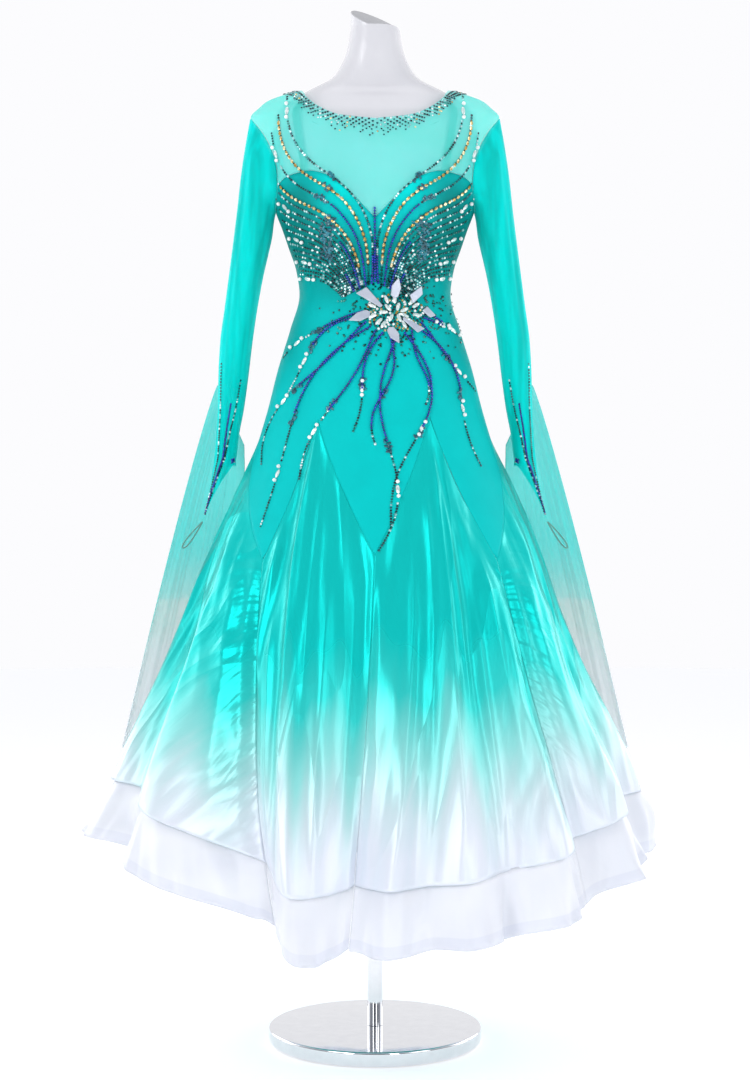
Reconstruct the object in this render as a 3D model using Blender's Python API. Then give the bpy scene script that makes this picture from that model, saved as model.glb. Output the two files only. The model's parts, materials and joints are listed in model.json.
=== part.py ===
"""Ballroom dance dress on a limbless dress form with a chrome stand.

The form stands on +Z with its pole on the Z axis, and its front faces -Y, so the wearer's left is +X.
Cloth is a thin wall: each piece is a grid of points on the garment's outer face, thickened inwards.
An azimuth runs round the body from the front (0) over the wearer's left (90) to the back (180).
"""

import math
from collections import namedtuple

import bmesh
import bpy
import numpy as np
from mathutils import Vector

# ---------------------------------------------------------------- driving sizes (metres, degrees)

BASE_RADIUS = 0.167
BASE_THICKNESS = 0.024
BASE_EDGE = 0.007
BASE_SIDES = 48
POLE_RADIUS = 0.0120
POLE_SIDES = 24
TOUCH_GAP = 0.0004

FORM_BOTTOM = 0.800
FORM_SIDES = 32
NECK_TOP = 1.598
NECK_CUT_SIDE = -0.41
NECK_CUT_FRONT = 0.45

SATIN_WALL = 0.0012
JERSEY_WALL = 0.0012
MESH_WALL = 0.0010
FLOAT_WALL = 0.0010
BAND_WALL = 0.0014
SEAM_GAP = 0.0008
EDGE_GAP = 0.0016

BUST_HEIGHT = 1.288
BUST_APART = 0.070
BUST_DEPTH = 0.030
BUST_WIDTH = 0.044
BUST_ABOVE = 0.052
BUST_BELOW = 0.034
FORM_FULLNESS = 0.85

# The body's sections are a little squarer than an ellipse; below SKIRT_ROUND_BELOW they are plain ellipses.
BODY_SQUARENESS = 0.12
SKIRT_ROUND_BELOW = 0.85
SQUARER_OVER = 0.15

ARMPIT = 1.300
SHOULDER_TIP = 1.4464
ARMHOLE_HALF_ANGLE = 30.0
SIDE_TOP = 1.332
SHOULDER_NECK = 1.4877
ARMHOLE_SEAM_ANGLE = 1.2
ARMHOLE_SEAM_DROP = 0.0016
ARMHOLE_LIFT = 0.0012

SLEEVE_SIDES = 16
CUFF_TIP = (0.267, -0.030, 0.815)
CUFF_POINT_SPREAD = 75.0
CUFF_POINT_MIDDLE = 67.5
CUFF_LIP = 0.010
CUFF_SHARES = (0.35, 0.7, 1.0)
LOOP_POINTS = 22
LOOP_START = 0.0028
LOOP_LENGTH = 0.050
LOOP_HALF_WIDTH = 0.0052
LOOP_CORD = 0.0011

BAND_HEIGHT = 0.086
BAND_FLARE = 0.012
FLOAT_STAND_OFF = 0.027
FLOAT_FLARE = 0.88
FLOAT_HEM_OUT = 0.004
FLUTE_DEPTH = 0.007
FLUTE_COUNT = 3
FLUTE_SIDEWAYS = 0.6
FOLD_GROWTH = 1.3
PANEL_ROWS = (0.0, 0.14, 0.30, 0.48, 0.66, 0.84, 1.0)
CLOSEST_COLUMNS = 0.035
WIDEST_COLUMNS = 0.11
WIDEST_BODY_COLUMN = 9.6

STRAP_DEPTH = 0.0040
STRAP_WALL = 0.0008

ZIP_BOTTOM = 0.99
ZIP_HALF_WIDTH = 0.0025
ZIP_LIFT = 0.0012
ZIP_WALL = 0.0010

STONE_THICKNESS = 0.0030
STONE_LIFT = 0.0044

# ---------------------------------------------------------------- tables

Section = namedtuple("Section", "height half_width front_depth back_depth")

# The dress's outer face, from below the hem to the shoulder beside the neck.
DRESS = [
    Section(0.200, 0.436, 0.405, 0.450),
    Section(0.330, 0.411, 0.378, 0.414),
    Section(0.450, 0.367, 0.333, 0.364),
    Section(0.556, 0.322, 0.291, 0.315),
    Section(0.650, 0.287, 0.251, 0.270),
    Section(0.755, 0.250, 0.207, 0.222),
    Section(0.855, 0.212, 0.168, 0.178),
    Section(0.926, 0.187, 0.144, 0.150),
    Section(0.989, 0.168, 0.128, 0.133),
    Section(1.052, 0.152, 0.115, 0.117),
    Section(1.115, 0.1327, 0.099, 0.097),
    Section(1.1697, 0.1185, 0.088, 0.080),
    Section(1.209, 0.124, 0.092, 0.082),
    Section(1.240, 0.1345, 0.098, 0.087),
    Section(1.272, 0.1455, 0.103, 0.092),
    Section(1.300, 0.156, 0.106, 0.095),
    Section(1.340, 0.166, 0.106, 0.097),
    Section(1.380, 0.177, 0.100, 0.096),
    Section(1.410, 0.187, 0.090, 0.092),
    Section(1.4464, 0.1956, 0.077, 0.083),
    Section(1.4617, 0.1818, 0.070, 0.077),
    Section(1.4704, 0.1716, 0.066, 0.073),
    Section(1.4758, 0.1586, 0.064, 0.070),
    Section(1.4877, 0.116, 0.058, 0.065),
]

# The moulded torso under it, on a general figure, without arms or legs.
FORM = [
    Section(FORM_BOTTOM, 0.128, 0.090, 0.096),
    Section(0.812, 0.150, 0.108, 0.116),
    Section(0.850, 0.165, 0.118, 0.126),
    Section(0.900, 0.171, 0.123, 0.129),
    Section(0.955, 0.169, 0.124, 0.128),
    Section(1.000, 0.158, 0.119, 0.122),
    Section(1.052, 0.1465, 0.1095, 0.1115),
    Section(1.115, 0.1272, 0.0935, 0.0915),
    Section(1.1697, 0.1130, 0.0825, 0.0745),
    Section(1.209, 0.1185, 0.0865, 0.0765),
    Section(1.240, 0.1290, 0.0925, 0.0815),
    Section(1.272, 0.1400, 0.0975, 0.0865),
    Section(1.300, 0.1480, 0.1005, 0.0895),
    Section(1.340, 0.1545, 0.1005, 0.0915),
    Section(1.380, 0.1590, 0.0945, 0.0905),
    Section(1.410, 0.1610, 0.0845, 0.0865),
    Section(1.4464, 0.1580, 0.0710, 0.0775),
    Section(1.4617, 0.1490, 0.0640, 0.0710),
    Section(1.4704, 0.1390, 0.0600, 0.0670),
    Section(1.4758, 0.1280, 0.0580, 0.0640),
    Section(1.4877, 0.1060, 0.0525, 0.0590),
    Section(1.507, 0.0690, 0.0500, 0.0560),
    Section(1.523, 0.0565, 0.0485, 0.0530),
    Section(1.554, 0.0440, 0.0460, 0.0480),
    Section(1.585, 0.0385, 0.0420, 0.0440),
]

EdgePoint = namedtuple("EdgePoint", "across height")

# Neckline and sweetheart edges: across is 0 at the centre line and 1 at the side or shoulder seam.
FRONT_NECKLINE = [
    EdgePoint(0.00, 1.4300),
    EdgePoint(0.155, 1.4370),
    EdgePoint(0.275, 1.4530),
    EdgePoint(0.355, 1.4645),
    EdgePoint(0.445, 1.4750),
    EdgePoint(0.600, 1.4820),
    EdgePoint(1.00, SHOULDER_NECK),
]
BACK_NECKLINE = [EdgePoint(0.0, 1.4680), EdgePoint(0.35, 1.4740), EdgePoint(1.0, SHOULDER_NECK)]
SWEETHEART = [
    EdgePoint(0.00, 1.275),
    EdgePoint(0.20, 1.316),
    EdgePoint(0.35, 1.338),
    EdgePoint(0.52, 1.347),
    EdgePoint(0.78, 1.343),
    EdgePoint(1.00, SIDE_TOP),
]
BACK_TOP = [EdgePoint(0.0, 1.330), EdgePoint(1.0, SIDE_TOP)]

Seam = namedtuple("Seam", "tip_azimuth tip_height hem_azimuth hem_height")

# Where the bodice's points reach down between two skirt panels, and where that seam meets the hem.
SEAMS = {
    "right_back": Seam(-128.0, 0.760, -128.0, 0.290),
    "right_front": Seam(-42.0, 0.755, -20.0, 0.246),
    "front": Seam(0.0, 0.763, -5.0, 0.220),
    "left_front": Seam(47.0, 0.755, 48.0, 0.266),
    "left_back": Seam(128.0, 0.760, 125.0, 0.275),
    "back": Seam(180.0, 0.763, 180.0, 0.235),
    "back_again": Seam(-180.0, 0.763, -180.0, 0.235),
}

Panel = namedtuple("Panel", "first second peak_azimuth peak_height hem_middle")

PANELS = {
    "side_right": Panel("right_back", "right_front", -90.0, 0.955, 0.325),
    "front_right": Panel("right_front", "front", -28.0, 0.971, 0.212),
    "front_left": Panel("front", "left_front", 26.0, 0.973, 0.230),
    "side_left": Panel("left_front", "left_back", 90.0, 0.955, 0.312),
    "back_left": Panel("left_back", "back", 152.0, 0.968, 0.245),
    "back_right": Panel("back_again", "right_back", -152.0, 0.968, 0.245),
}

Fold = namedtuple("Fold", "panel across push")

# The skirt's large pipes (push above 0) and troughs, as reached at the hem. Panels agree at their seams.
FOLDS = [
    Fold("side_right", 0.00, -0.026),
    Fold("side_right", 0.15, 0.030),
    Fold("side_right", 0.28, -0.024),
    Fold("side_right", 0.40, 0.028),
    Fold("side_right", 0.54, -0.026),
    Fold("side_right", 0.74, 0.028),
    Fold("side_right", 1.00, -0.034),
    Fold("front_right", 0.00, -0.034),
    Fold("front_right", 0.50, 0.040),
    Fold("front_right", 1.00, -0.028),
    Fold("front_left", 0.00, -0.028),
    Fold("front_left", 0.14, 0.018),
    Fold("front_left", 0.28, -0.010),
    Fold("front_left", 0.42, 0.018),
    Fold("front_left", 0.60, -0.012),
    Fold("front_left", 0.80, 0.020),
    Fold("front_left", 1.00, -0.026),
    Fold("side_left", 0.00, -0.026),
    Fold("side_left", 0.18, 0.022),
    Fold("side_left", 0.32, -0.018),
    Fold("side_left", 0.48, 0.030),
    Fold("side_left", 0.66, -0.024),
    Fold("side_left", 0.83, 0.030),
    Fold("side_left", 1.00, -0.026),
    Fold("back_left", 0.00, -0.026),
    Fold("back_left", 0.26, 0.032),
    Fold("back_left", 0.50, -0.024),
    Fold("back_left", 0.75, 0.034),
    Fold("back_left", 1.00, -0.028),
    Fold("back_right", 0.00, -0.028),
    Fold("back_right", 0.27, 0.034),
    Fold("back_right", 0.52, -0.024),
    Fold("back_right", 0.76, 0.032),
    Fold("back_right", 1.00, -0.026),
]

SleeveRing = namedtuple("SleeveRing", "inner_x inner_z outer_x outer_z half_depth")

# The sleeve's rings below the armhole, each by its edge beside the body and its outer edge.
SLEEVE = [
    SleeveRing(0.1590, 1.283, 0.2030, 1.405, 0.056),
    SleeveRing(0.1615, 1.262, 0.2105, 1.355, 0.054),
    SleeveRing(0.1665, 1.238, 0.2165, 1.300, 0.052),
    SleeveRing(0.1745, 1.203, 0.2245, 1.235, 0.049),
    SleeveRing(0.1850, 1.146, 0.2350, 1.155, 0.044),
    SleeveRing(0.1930, 1.090, 0.2430, 1.095, 0.041),
    SleeveRing(0.1990, 1.040, 0.2460, 1.040, 0.038),
    SleeveRing(0.2060, 0.990, 0.2470, 0.990, 0.034),
    SleeveRing(0.2135, 0.950, 0.2490, 0.950, 0.031),
    SleeveRing(0.2180, 0.912, 0.2520, 0.912, 0.029),
]

FloatEdge = namedtuple("FloatEdge", "top_x top_y top_z hem_azimuth hem_z")

# The float hangs from the forearm's back seam and spreads behind the skirt's side.
FLOAT_EDGES = [
    FloatEdge(0.2485, 0.014, 1.030, 88.0, 0.462),
    FloatEdge(0.2440, 0.042, 1.010, 104.0, 0.440),
    FloatEdge(0.2320, 0.050, 0.985, 118.0, 0.425),
    FloatEdge(0.2190, 0.046, 0.960, 133.0, 0.415),
    FloatEdge(0.2070, 0.032, 0.935, 150.0, 0.410),
]

# Rows of the bodice and yoke pieces, as shares of their height. One is the armpit's, one the shoulder tip's.
ARMPIT_ROW = 0.913
TIP_ROW = (SHOULDER_TIP - SIDE_TOP) / (SHOULDER_NECK - SIDE_TOP)
BODICE_ROWS = (0.0, 0.16, 0.32, 0.46, 0.56, 0.64, 0.72, 0.80, 0.87, ARMPIT_ROW, 0.96, 1.0)
YOKE_ROWS = (0.0, 0.22, 0.45, 0.62, TIP_ROW, 0.86, 1.0)

Strap = namedtuple("Strap", "cup_azimuth cup_height neck_azimuth neck_height width")
STRAP = Strap(38.5, 1.340, 36.5, 1.4600, 0.011)

Stone = namedtuple("Stone", "x z length width lean shape")

# The mirror stones of the waist brooch: lean is the long axis's turn from +X towards +Z.
STONES = [
    Stone(-0.0070, 1.1520, 0.0440, 0.0200, -37.0, "wedge"),
    Stone(0.0310, 1.1690, 0.0330, 0.0150, 76.0, "leaf"),
    Stone(0.0610, 1.1600, 0.0310, 0.0150, 50.0, "shard"),
    Stone(0.0800, 1.1310, 0.0230, 0.0140, -32.0, "shard"),
    Stone(0.0560, 1.1110, 0.0370, 0.0140, -33.0, "wedge_turned"),
    Stone(0.0285, 1.0940, 0.0300, 0.0150, -62.0, "leaf"),
    Stone(-0.0230, 1.1230, 0.0360, 0.0150, 20.0, "leaf_turned"),
]

# Each stone's outline as (along, across) shares of its length and width.
STONE_SHAPES = {
    "wedge": [(-0.50, -0.36), (-0.34, 0.50), (0.50, 0.10), (0.48, -0.14)],
    "wedge_turned": [(-0.50, 0.14), (-0.46, -0.16), (0.34, -0.50), (0.50, 0.36)],
    "leaf": [(-0.50, -0.10), (-0.38, -0.42), (0.05, -0.50), (0.50, 0.02), (0.05, 0.50), (-0.38, 0.38)],
    "leaf_turned": [(-0.50, -0.02), (-0.05, -0.50), (0.38, -0.38), (0.50, 0.08), (0.34, 0.44), (-0.05, 0.46)],
    "shard": [(-0.50, -0.30), (-0.30, 0.50), (0.50, 0.12), (0.20, -0.50)],
}

# Colours of the materials, linear RGB.
CYAN = (0.000, 0.620, 0.560)
TEAL = (0.000, 0.450, 0.400)
AQUA = (0.230, 0.880, 0.760)
PALE = (0.860, 0.900, 0.960)
FORM_WHITE = (0.820, 0.820, 0.840)
CHROME = (0.780, 0.780, 0.790)
LOOP_GREY = (0.330, 0.400, 0.380)
MIRROR_GREY = (0.520, 0.570, 0.680)
STRAP_GREEN = (0.250, 0.560, 0.470)

# ---------------------------------------------------------------- curves and surfaces


def through(knots, values, where):
    """A smooth line through the knots that never overshoots (a monotone cubic)."""
    x, y = np.array(knots, float), np.array(values, float)
    step = np.diff(x)
    slope = np.diff(y) / step
    tangent = np.zeros(len(x))
    same_way = slope[:-1] * slope[1:] > 0
    first, second = 2 * step[1:] + step[:-1], step[1:] + 2 * step[:-1]
    safe_a = np.where(same_way, slope[:-1], 1.0)
    safe_b = np.where(same_way, slope[1:], 1.0)
    tangent[1:-1] = np.where(same_way, (first + second) / (first / safe_a + second / safe_b), 0.0)
    tangent[0], tangent[-1] = slope[0], slope[-1]
    at = np.clip(np.asarray(where, float), x[0], x[-1])
    k = np.clip(np.searchsorted(x, at) - 1, 0, len(x) - 2)
    h, f = step[k], (at - x[k]) / step[k]
    return (
        y[k] * (1 + 2 * f) * (1 - f) ** 2
        + tangent[k] * h * f * (1 - f) ** 2
        + y[k + 1] * f * f * (3 - 2 * f)
        + tangent[k + 1] * h * f * f * (f - 1)
    )


def bust(x, z):
    """The extra depth over the two cups, gentle above them and tighter below."""
    rise = np.where(z > BUST_HEIGHT, BUST_ABOVE, BUST_BELOW)
    return (
        BUST_DEPTH
        * np.exp(-(((np.abs(x) - BUST_APART) / BUST_WIDTH) ** 2))
        * np.exp(-(((z - BUST_HEIGHT) / rise) ** 2))
    )


def section_point(table, azimuth, z, out=0.0, fullness=1.0):
    """Points at these azimuths and heights on the surface that a table of sections gives, moved out."""
    z = np.asarray(z, float)
    turn = np.radians(np.asarray(azimuth, float))
    heights = [row.height for row in table]
    width = through(heights, [row.half_width for row in table], z) + out
    front = through(heights, [row.front_depth for row in table], z) + out
    back = through(heights, [row.back_depth for row in table], z) + out
    boxy = 1.0 - BODY_SQUARENESS * np.clip((z - SKIRT_ROUND_BELOW) / SQUARER_OVER, 0, 1)
    s, c = np.sin(turn), np.cos(turn)
    x = width * np.sign(s) * np.abs(s) ** boxy
    y = -np.where(c > 0, front, back) * np.sign(c) * np.abs(c) ** boxy
    y = y - np.where(c > 0, fullness * bust(x, z) * np.minimum(1.0, 4 * np.abs(c)), 0.0)
    return np.stack([x, y, np.broadcast_to(z, x.shape)], axis=-1)


def point_height(azimuth):
    """The height of the bodice's zigzag lower edge at an azimuth."""
    knots = []
    for panel in PANELS.values():
        first, second = SEAMS[panel.first], SEAMS[panel.second]
        knots += [(first.tip_azimuth, first.tip_height), (panel.peak_azimuth, panel.peak_height)]
        knots += [(second.tip_azimuth, second.tip_height)]
    knots = sorted(set(knots))
    return np.interp(azimuth, [k[0] for k in knots], [k[1] for k in knots])


def edge_height(edge, across):
    return through([p.across for p in edge], [p.height for p in edge], np.abs(across))


def side_azimuth(z):
    """How far round a half piece reaches: to the side seam, or to the armhole's edge beside it."""
    middle, half = (SHOULDER_TIP + ARMPIT) / 2, (SHOULDER_TIP - ARMPIT) / 2
    up = np.clip((z - middle) / half, -1, 1)
    return 90.0 - ARMHOLE_HALF_ANGLE * np.sqrt(1 - up**2)


def torso_piece(across, up, low, high, low_side, high_side, back):
    """A front or back piece as a grid: its columns run up, and its side edge follows seam and armhole."""
    columns, rows = np.meshgrid(across, up)
    z = low * (1 - rows) + high * rows
    side = side_azimuth(low_side * (1 - up) + high_side * up)[:, None]
    azimuth = columns * side
    gap = np.degrees(SEAM_GAP / 0.16)
    azimuth = np.clip(azimuth, -side + gap, side - gap)
    if back:
        azimuth = 180.0 - azimuth
    azimuth = (azimuth + 180.0) % 360.0 - 180.0
    return section_point(DRESS, azimuth, z)


# ---------------------------------------------------------------- making objects


def start_clean():
    """Removes whatever the scene holds, so that the dress is all there is."""
    for obj in list(bpy.data.objects):
        bpy.data.objects.remove(obj)


def material(name, colour, roughness, metallic=0.0, alpha=1.0):
    made = bpy.data.materials.new(name)
    made.use_nodes = True
    shader = made.node_tree.nodes["Principled BSDF"]
    shader.inputs["Base Color"].default_value = (*colour, 1.0)
    shader.inputs["Roughness"].default_value = roughness
    shader.inputs["Metallic"].default_value = metallic
    shader.inputs["Alpha"].default_value = alpha
    return made


def add_object(name, data, finish):
    obj = bpy.data.objects.new(name, data)
    obj.data.materials.append(finish)
    bpy.context.scene.collection.objects.link(obj)
    return obj


def grid_faces(rows, columns, wrap):
    """The quads between neighbouring grid points, seen from outside as anticlockwise."""
    last = columns if wrap else columns - 1
    return [
        (
            r * columns + c,
            r * columns + (c + 1) % columns,
            (r + 1) * columns + (c + 1) % columns,
            (r + 1) * columns + c,
        )
        for r in range(rows - 1)
        for c in range(last)
    ]


def cloth(name, grid, finish, wall, wrap=False, flip=False):
    """A cloth wall whose outer face is the grid of points, thickened inwards."""
    if flip:
        grid = grid[::-1]
    rows, columns = grid.shape[:2]
    mesh = bpy.data.meshes.new(name)
    mesh.from_pydata(grid.reshape(-1, 3).tolist(), [], grid_faces(rows, columns, wrap))
    mesh.update()
    obj = add_object(name, mesh, finish)
    shell = obj.modifiers.new("wall", "SOLIDIFY")
    shell.thickness = wall
    shell.offset = -1.0
    shell.use_even_offset = False
    return obj


# ---------------------------------------------------------------- the dress form and its stand


def build_base(finish):
    """A chrome disc with a rounded rim, turned from its half profile."""
    mesh = bpy.data.meshes.new("stand_base")
    shape = bmesh.new()
    corners = [
        (0.0, 0.0),
        (BASE_RADIUS - BASE_EDGE, 0.0),
        (BASE_RADIUS, BASE_EDGE),
        (BASE_RADIUS, BASE_THICKNESS - BASE_EDGE / 2),
        (BASE_RADIUS - BASE_EDGE / 2, BASE_THICKNESS),
        (0.0, BASE_THICKNESS),
    ]
    profile = [shape.verts.new((r, 0.0, z)) for r, z in corners]
    for lower, upper in zip(profile, profile[1:]):
        shape.edges.new((lower, upper))
    bmesh.ops.spin(
        shape, geom=shape.verts[:] + shape.edges[:], axis=(0, 0, 1), cent=(0, 0, 0),
        angle=2 * math.pi, steps=BASE_SIDES, use_merge=True,
    )
    bmesh.ops.remove_doubles(shape, verts=shape.verts[:], dist=1e-5)
    bmesh.ops.recalc_face_normals(shape, faces=shape.faces[:])
    shape.to_mesh(mesh)
    shape.free()
    return add_object("stand_base", mesh, finish)


def build_pole(finish):
    """A chrome tube's outside, from the disc to the underside of the torso."""
    low, high = BASE_THICKNESS + TOUCH_GAP, FORM_BOTTOM - TOUCH_GAP
    mesh = bpy.data.meshes.new("stand_pole")
    shape = bmesh.new()
    bmesh.ops.create_cone(
        shape, cap_ends=True, segments=POLE_SIDES, radius1=POLE_RADIUS, radius2=POLE_RADIUS, depth=high - low,
    )
    bmesh.ops.translate(shape, verts=shape.verts[:], vec=(0, 0, (low + high) / 2))
    shape.to_mesh(mesh)
    shape.free()
    return add_object("stand_pole", mesh, finish)


def build_form(finish):
    """The moulded torso: rings up to the neck, the last one on the slanting cut, closed at both ends."""
    sides = FORM_SIDES
    azimuth = np.arange(sides) * 360.0 / sides
    azimuth = (azimuth + 180.0) % 360.0 - 180.0
    rings = [section_point(FORM, azimuth, np.full(sides, row.height), fullness=FORM_FULLNESS) for row in FORM]
    rim = rings[-1].copy()
    rim[:, 2] = NECK_TOP + NECK_CUT_SIDE * rim[:, 0] + NECK_CUT_FRONT * rim[:, 1]
    rings.append(rim)
    grid = np.array(rings)
    rows = len(rings)
    mesh = bpy.data.meshes.new("dress_form")
    faces = grid_faces(rows, sides, True)
    faces.append(tuple(range(sides))[::-1])
    faces.append(tuple((rows - 1) * sides + k for k in range(sides)))
    mesh.from_pydata(grid.reshape(-1, 3).tolist(), [], faces)
    mesh.update()
    obj = add_object("dress_form", mesh, finish)
    for face in mesh.polygons:
        face.use_smooth = len(face.vertices) == 4
    return obj


# ---------------------------------------------------------------- bodice and yoke


def zigzag_azimuths():
    """The azimuths, from -180 to 180, of all the zigzag's points and peaks."""
    tips = {seam.tip_azimuth for seam in SEAMS.values()}
    return sorted(tips | {panel.peak_azimuth for panel in PANELS.values()})


def body_columns(back):
    """Columns of a front or back piece, as shares of the way to its side seams: on the zigzag's turns and
    evenly between them."""
    turns = np.array(zigzag_azimuths())
    if back:
        turns = 180.0 - turns % 360.0
    turns = np.sort(turns[np.abs(turns) <= 90.0])
    counts = np.ceil(np.diff(turns) / WIDEST_BODY_COLUMN).astype(int)
    parts = [np.linspace(a, b, n, endpoint=False) for a, b, n in zip(turns, turns[1:], counts)]
    return np.concatenate([*parts, turns[-1:]]) / 90.0


def body_grid(top, up, back, low_edge):
    """A bodice piece down to the zigzag, or a yoke piece down to the edge of the bodice piece below it."""
    across = body_columns(back)
    if low_edge is None:
        azimuth = (180.0 - across * 90.0 + 180.0) % 360.0 - 180.0 if back else across * 90.0
        low = point_height(azimuth) + EDGE_GAP
        side = low[-1], SIDE_TOP
    else:
        low = edge_height(low_edge, across) + EDGE_GAP
        side = SIDE_TOP, SHOULDER_NECK
    return torso_piece(across, np.array(up), low, edge_height(top, across), *side, back)


def build_body(name, finish, wall, top, up, back, low_edge=None):
    """A front or back piece of the bodice or of the yoke."""
    return cloth(name, body_grid(top, up, back, low_edge), finish, wall, flip=back)


def build_strap(name, finish, side):
    """A bra strap from the cup's top to the shoulder, seen through the sheer yoke that covers it."""
    along = np.linspace(0.0, 1.0, 9)
    azimuth = STRAP.cup_azimuth + (STRAP.neck_azimuth - STRAP.cup_azimuth) * along
    z = STRAP.cup_height + (STRAP.neck_height - STRAP.cup_height) * along
    half = STRAP.width / 2
    across = np.array([-half, 0.0, half])
    middle = section_point(DRESS, side * azimuth, z, out=-STRAP_DEPTH)
    beside = section_point(DRESS, side * (azimuth + 3.0), z, out=-STRAP_DEPTH)
    step = beside - middle
    step /= np.linalg.norm(step, axis=1)[:, None]
    grid = middle[:, None, :] + across[None, :, None] * step[:, None, :] * side
    return cloth(name, grid, finish, STRAP_WALL)


# ---------------------------------------------------------------- sleeves, floats and finger loops


def armhole_ring(turns, side):
    """The armhole's edge, from the shoulder tip round the front and under the arm."""
    middle, half = (SHOULDER_TIP + ARMPIT) / 2, (SHOULDER_TIP - ARMPIT) / 2 - ARMHOLE_SEAM_DROP
    z = middle + half * np.cos(turns)
    azimuth = 90.0 - (ARMHOLE_HALF_ANGLE - ARMHOLE_SEAM_ANGLE) * np.sin(turns)
    ring = section_point(DRESS, azimuth, z, out=ARMHOLE_LIFT)
    return ring * np.array([side, 1, 1])


def sleeve_rings(turns, side):
    """The armhole's ring, then one slanted ellipse for each row of the sleeve's table."""
    rings = [armhole_ring(turns, side)]
    for row in SLEEVE:
        middle = np.array([(row.inner_x + row.outer_x) / 2, 0.0, (row.inner_z + row.outer_z) / 2])
        reach = np.array([(row.outer_x - row.inner_x) / 2, 0.0, (row.outer_z - row.inner_z) / 2])
        ring = middle + np.cos(turns)[:, None] * reach
        ring[:, 1] -= row.half_depth * np.sin(turns)
        rings.append(ring * np.array([side, 1, 1]))
    return rings


def build_sleeve(name, finish, side):
    """A tube from the armhole to the wrist, whose front ends in the point over the hand."""
    turns = np.arange(SLEEVE_SIDES) * 2 * math.pi / SLEEVE_SIDES
    rings = sleeve_rings(turns, side)
    off_point = np.abs((np.degrees(turns) - CUFF_POINT_MIDDLE + 180) % 360 - 180)
    pointed = np.clip(1 - off_point / CUFF_POINT_SPREAD, 0, 1)[:, None]
    tip = np.array(CUFF_TIP) * np.array([side, 1, 1])
    wrist = rings[-1]
    for share in CUFF_SHARES:
        ring = wrist + share * pointed * (tip - wrist)
        ring[:, 2] -= CUFF_LIP * share * (1 - pointed[:, 0])
        rings.append(ring)
    return cloth(name, np.array(rings), finish, JERSEY_WALL, wrap=True, flip=side < 0)


def clear_of_skirt(points, stand_off):
    """Points pushed out sideways where they would come nearer to the skirt than this."""
    heights = [row.height for row in DRESS]
    x, y, z = points[..., 0], points[..., 1], points[..., 2]
    width = through(heights, [row.half_width for row in DRESS], z) + stand_off
    back = through(heights, [row.back_depth for row in DRESS], z) + stand_off
    norm = np.sqrt((x / width) ** 2 + (y / back) ** 2)
    push = np.maximum(1.0, 1.0 / np.maximum(norm, 0.2))
    return points * np.stack([push, push, np.ones_like(push)], axis=-1)


def build_float(name, finish, side):
    """The sleeve's long float: each line runs from the forearm's seam out and down beside the skirt."""
    across = np.linspace(0.0, 1.0, 13)
    down = np.linspace(0.0, 1.0, 7)
    knots = np.linspace(0.0, 1.0, len(FLOAT_EDGES))
    line = {key: through(knots, [getattr(e, key) for e in FLOAT_EDGES], across) for key in FloatEdge._fields}
    top = np.stack([line["top_x"], line["top_y"], line["top_z"]], axis=-1)
    hem = section_point(DRESS, line["hem_azimuth"], line["hem_z"], out=FLOAT_STAND_OFF + FLOAT_HEM_OUT)
    share = down[:, None, None]
    spread = share ** FLOAT_FLARE
    grid = top * (1 - spread) + hem * spread
    grid[..., 2] = (top * (1 - share) + hem * share)[..., 2]
    grid = clear_of_skirt(grid, FLOAT_STAND_OFF)
    ripple = FLUTE_DEPTH * np.sin(2 * math.pi * FLUTE_COUNT * across)[None, :] * down[:, None]
    grid[..., 1] += ripple
    grid[..., 0] += ripple * FLUTE_SIDEWAYS
    return cloth(name, grid * np.array([side, 1, 1]), finish, FLOAT_WALL, flip=side > 0)


def build_loop(name, finish, side):
    """The elastic finger loop at the sleeve's point: a slim closed teardrop of cord."""
    turns = np.arange(LOOP_POINTS) * 2 * math.pi / LOOP_POINTS
    along = (1 - np.cos(turns)) / 2 * LOOP_LENGTH
    across = LOOP_HALF_WIDTH * np.sin(turns) * (0.25 + 0.75 * (1 - np.cos(turns)) / 2)
    direction = Vector((0.60 * side, 0.0, -0.80))
    beside = Vector((0.80 * side, 0.0, 0.60))
    start = Vector((CUFF_TIP[0] * side, CUFF_TIP[1], CUFF_TIP[2])) + direction * LOOP_START
    line = bpy.data.curves.new(name, "CURVE")
    line.dimensions = "3D"
    line.bevel_depth = LOOP_CORD
    line.bevel_resolution = 2
    spline = line.splines.new("POLY")
    spline.points.add(LOOP_POINTS - 1)
    for point, a, b in zip(spline.points, along, across):
        point.co = (*(start + direction * float(a) + beside * float(b)), 1.0)
    spline.use_cyclic_u = True
    return add_object(name, line, finish)


# ---------------------------------------------------------------- skirt panels and hem bands


def panel_push(name, across, drop):
    """How far the large folds stand out from the skirt's plain cone: waves that grow towards the hem."""
    folds = [fold for fold in FOLDS if fold.panel == name]
    knots = np.array([fold.across for fold in folds])
    push = np.array([fold.push for fold in folds])
    k = np.clip(np.searchsorted(knots, across) - 1, 0, len(folds) - 2)
    share = (across - knots[k]) / (knots[k + 1] - knots[k])
    at_hem = push[k] + (push[k + 1] - push[k]) * (1 - np.cos(math.pi * share)) / 2
    return at_hem * np.clip(drop, 0, 1) ** FOLD_GROWTH


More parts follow.
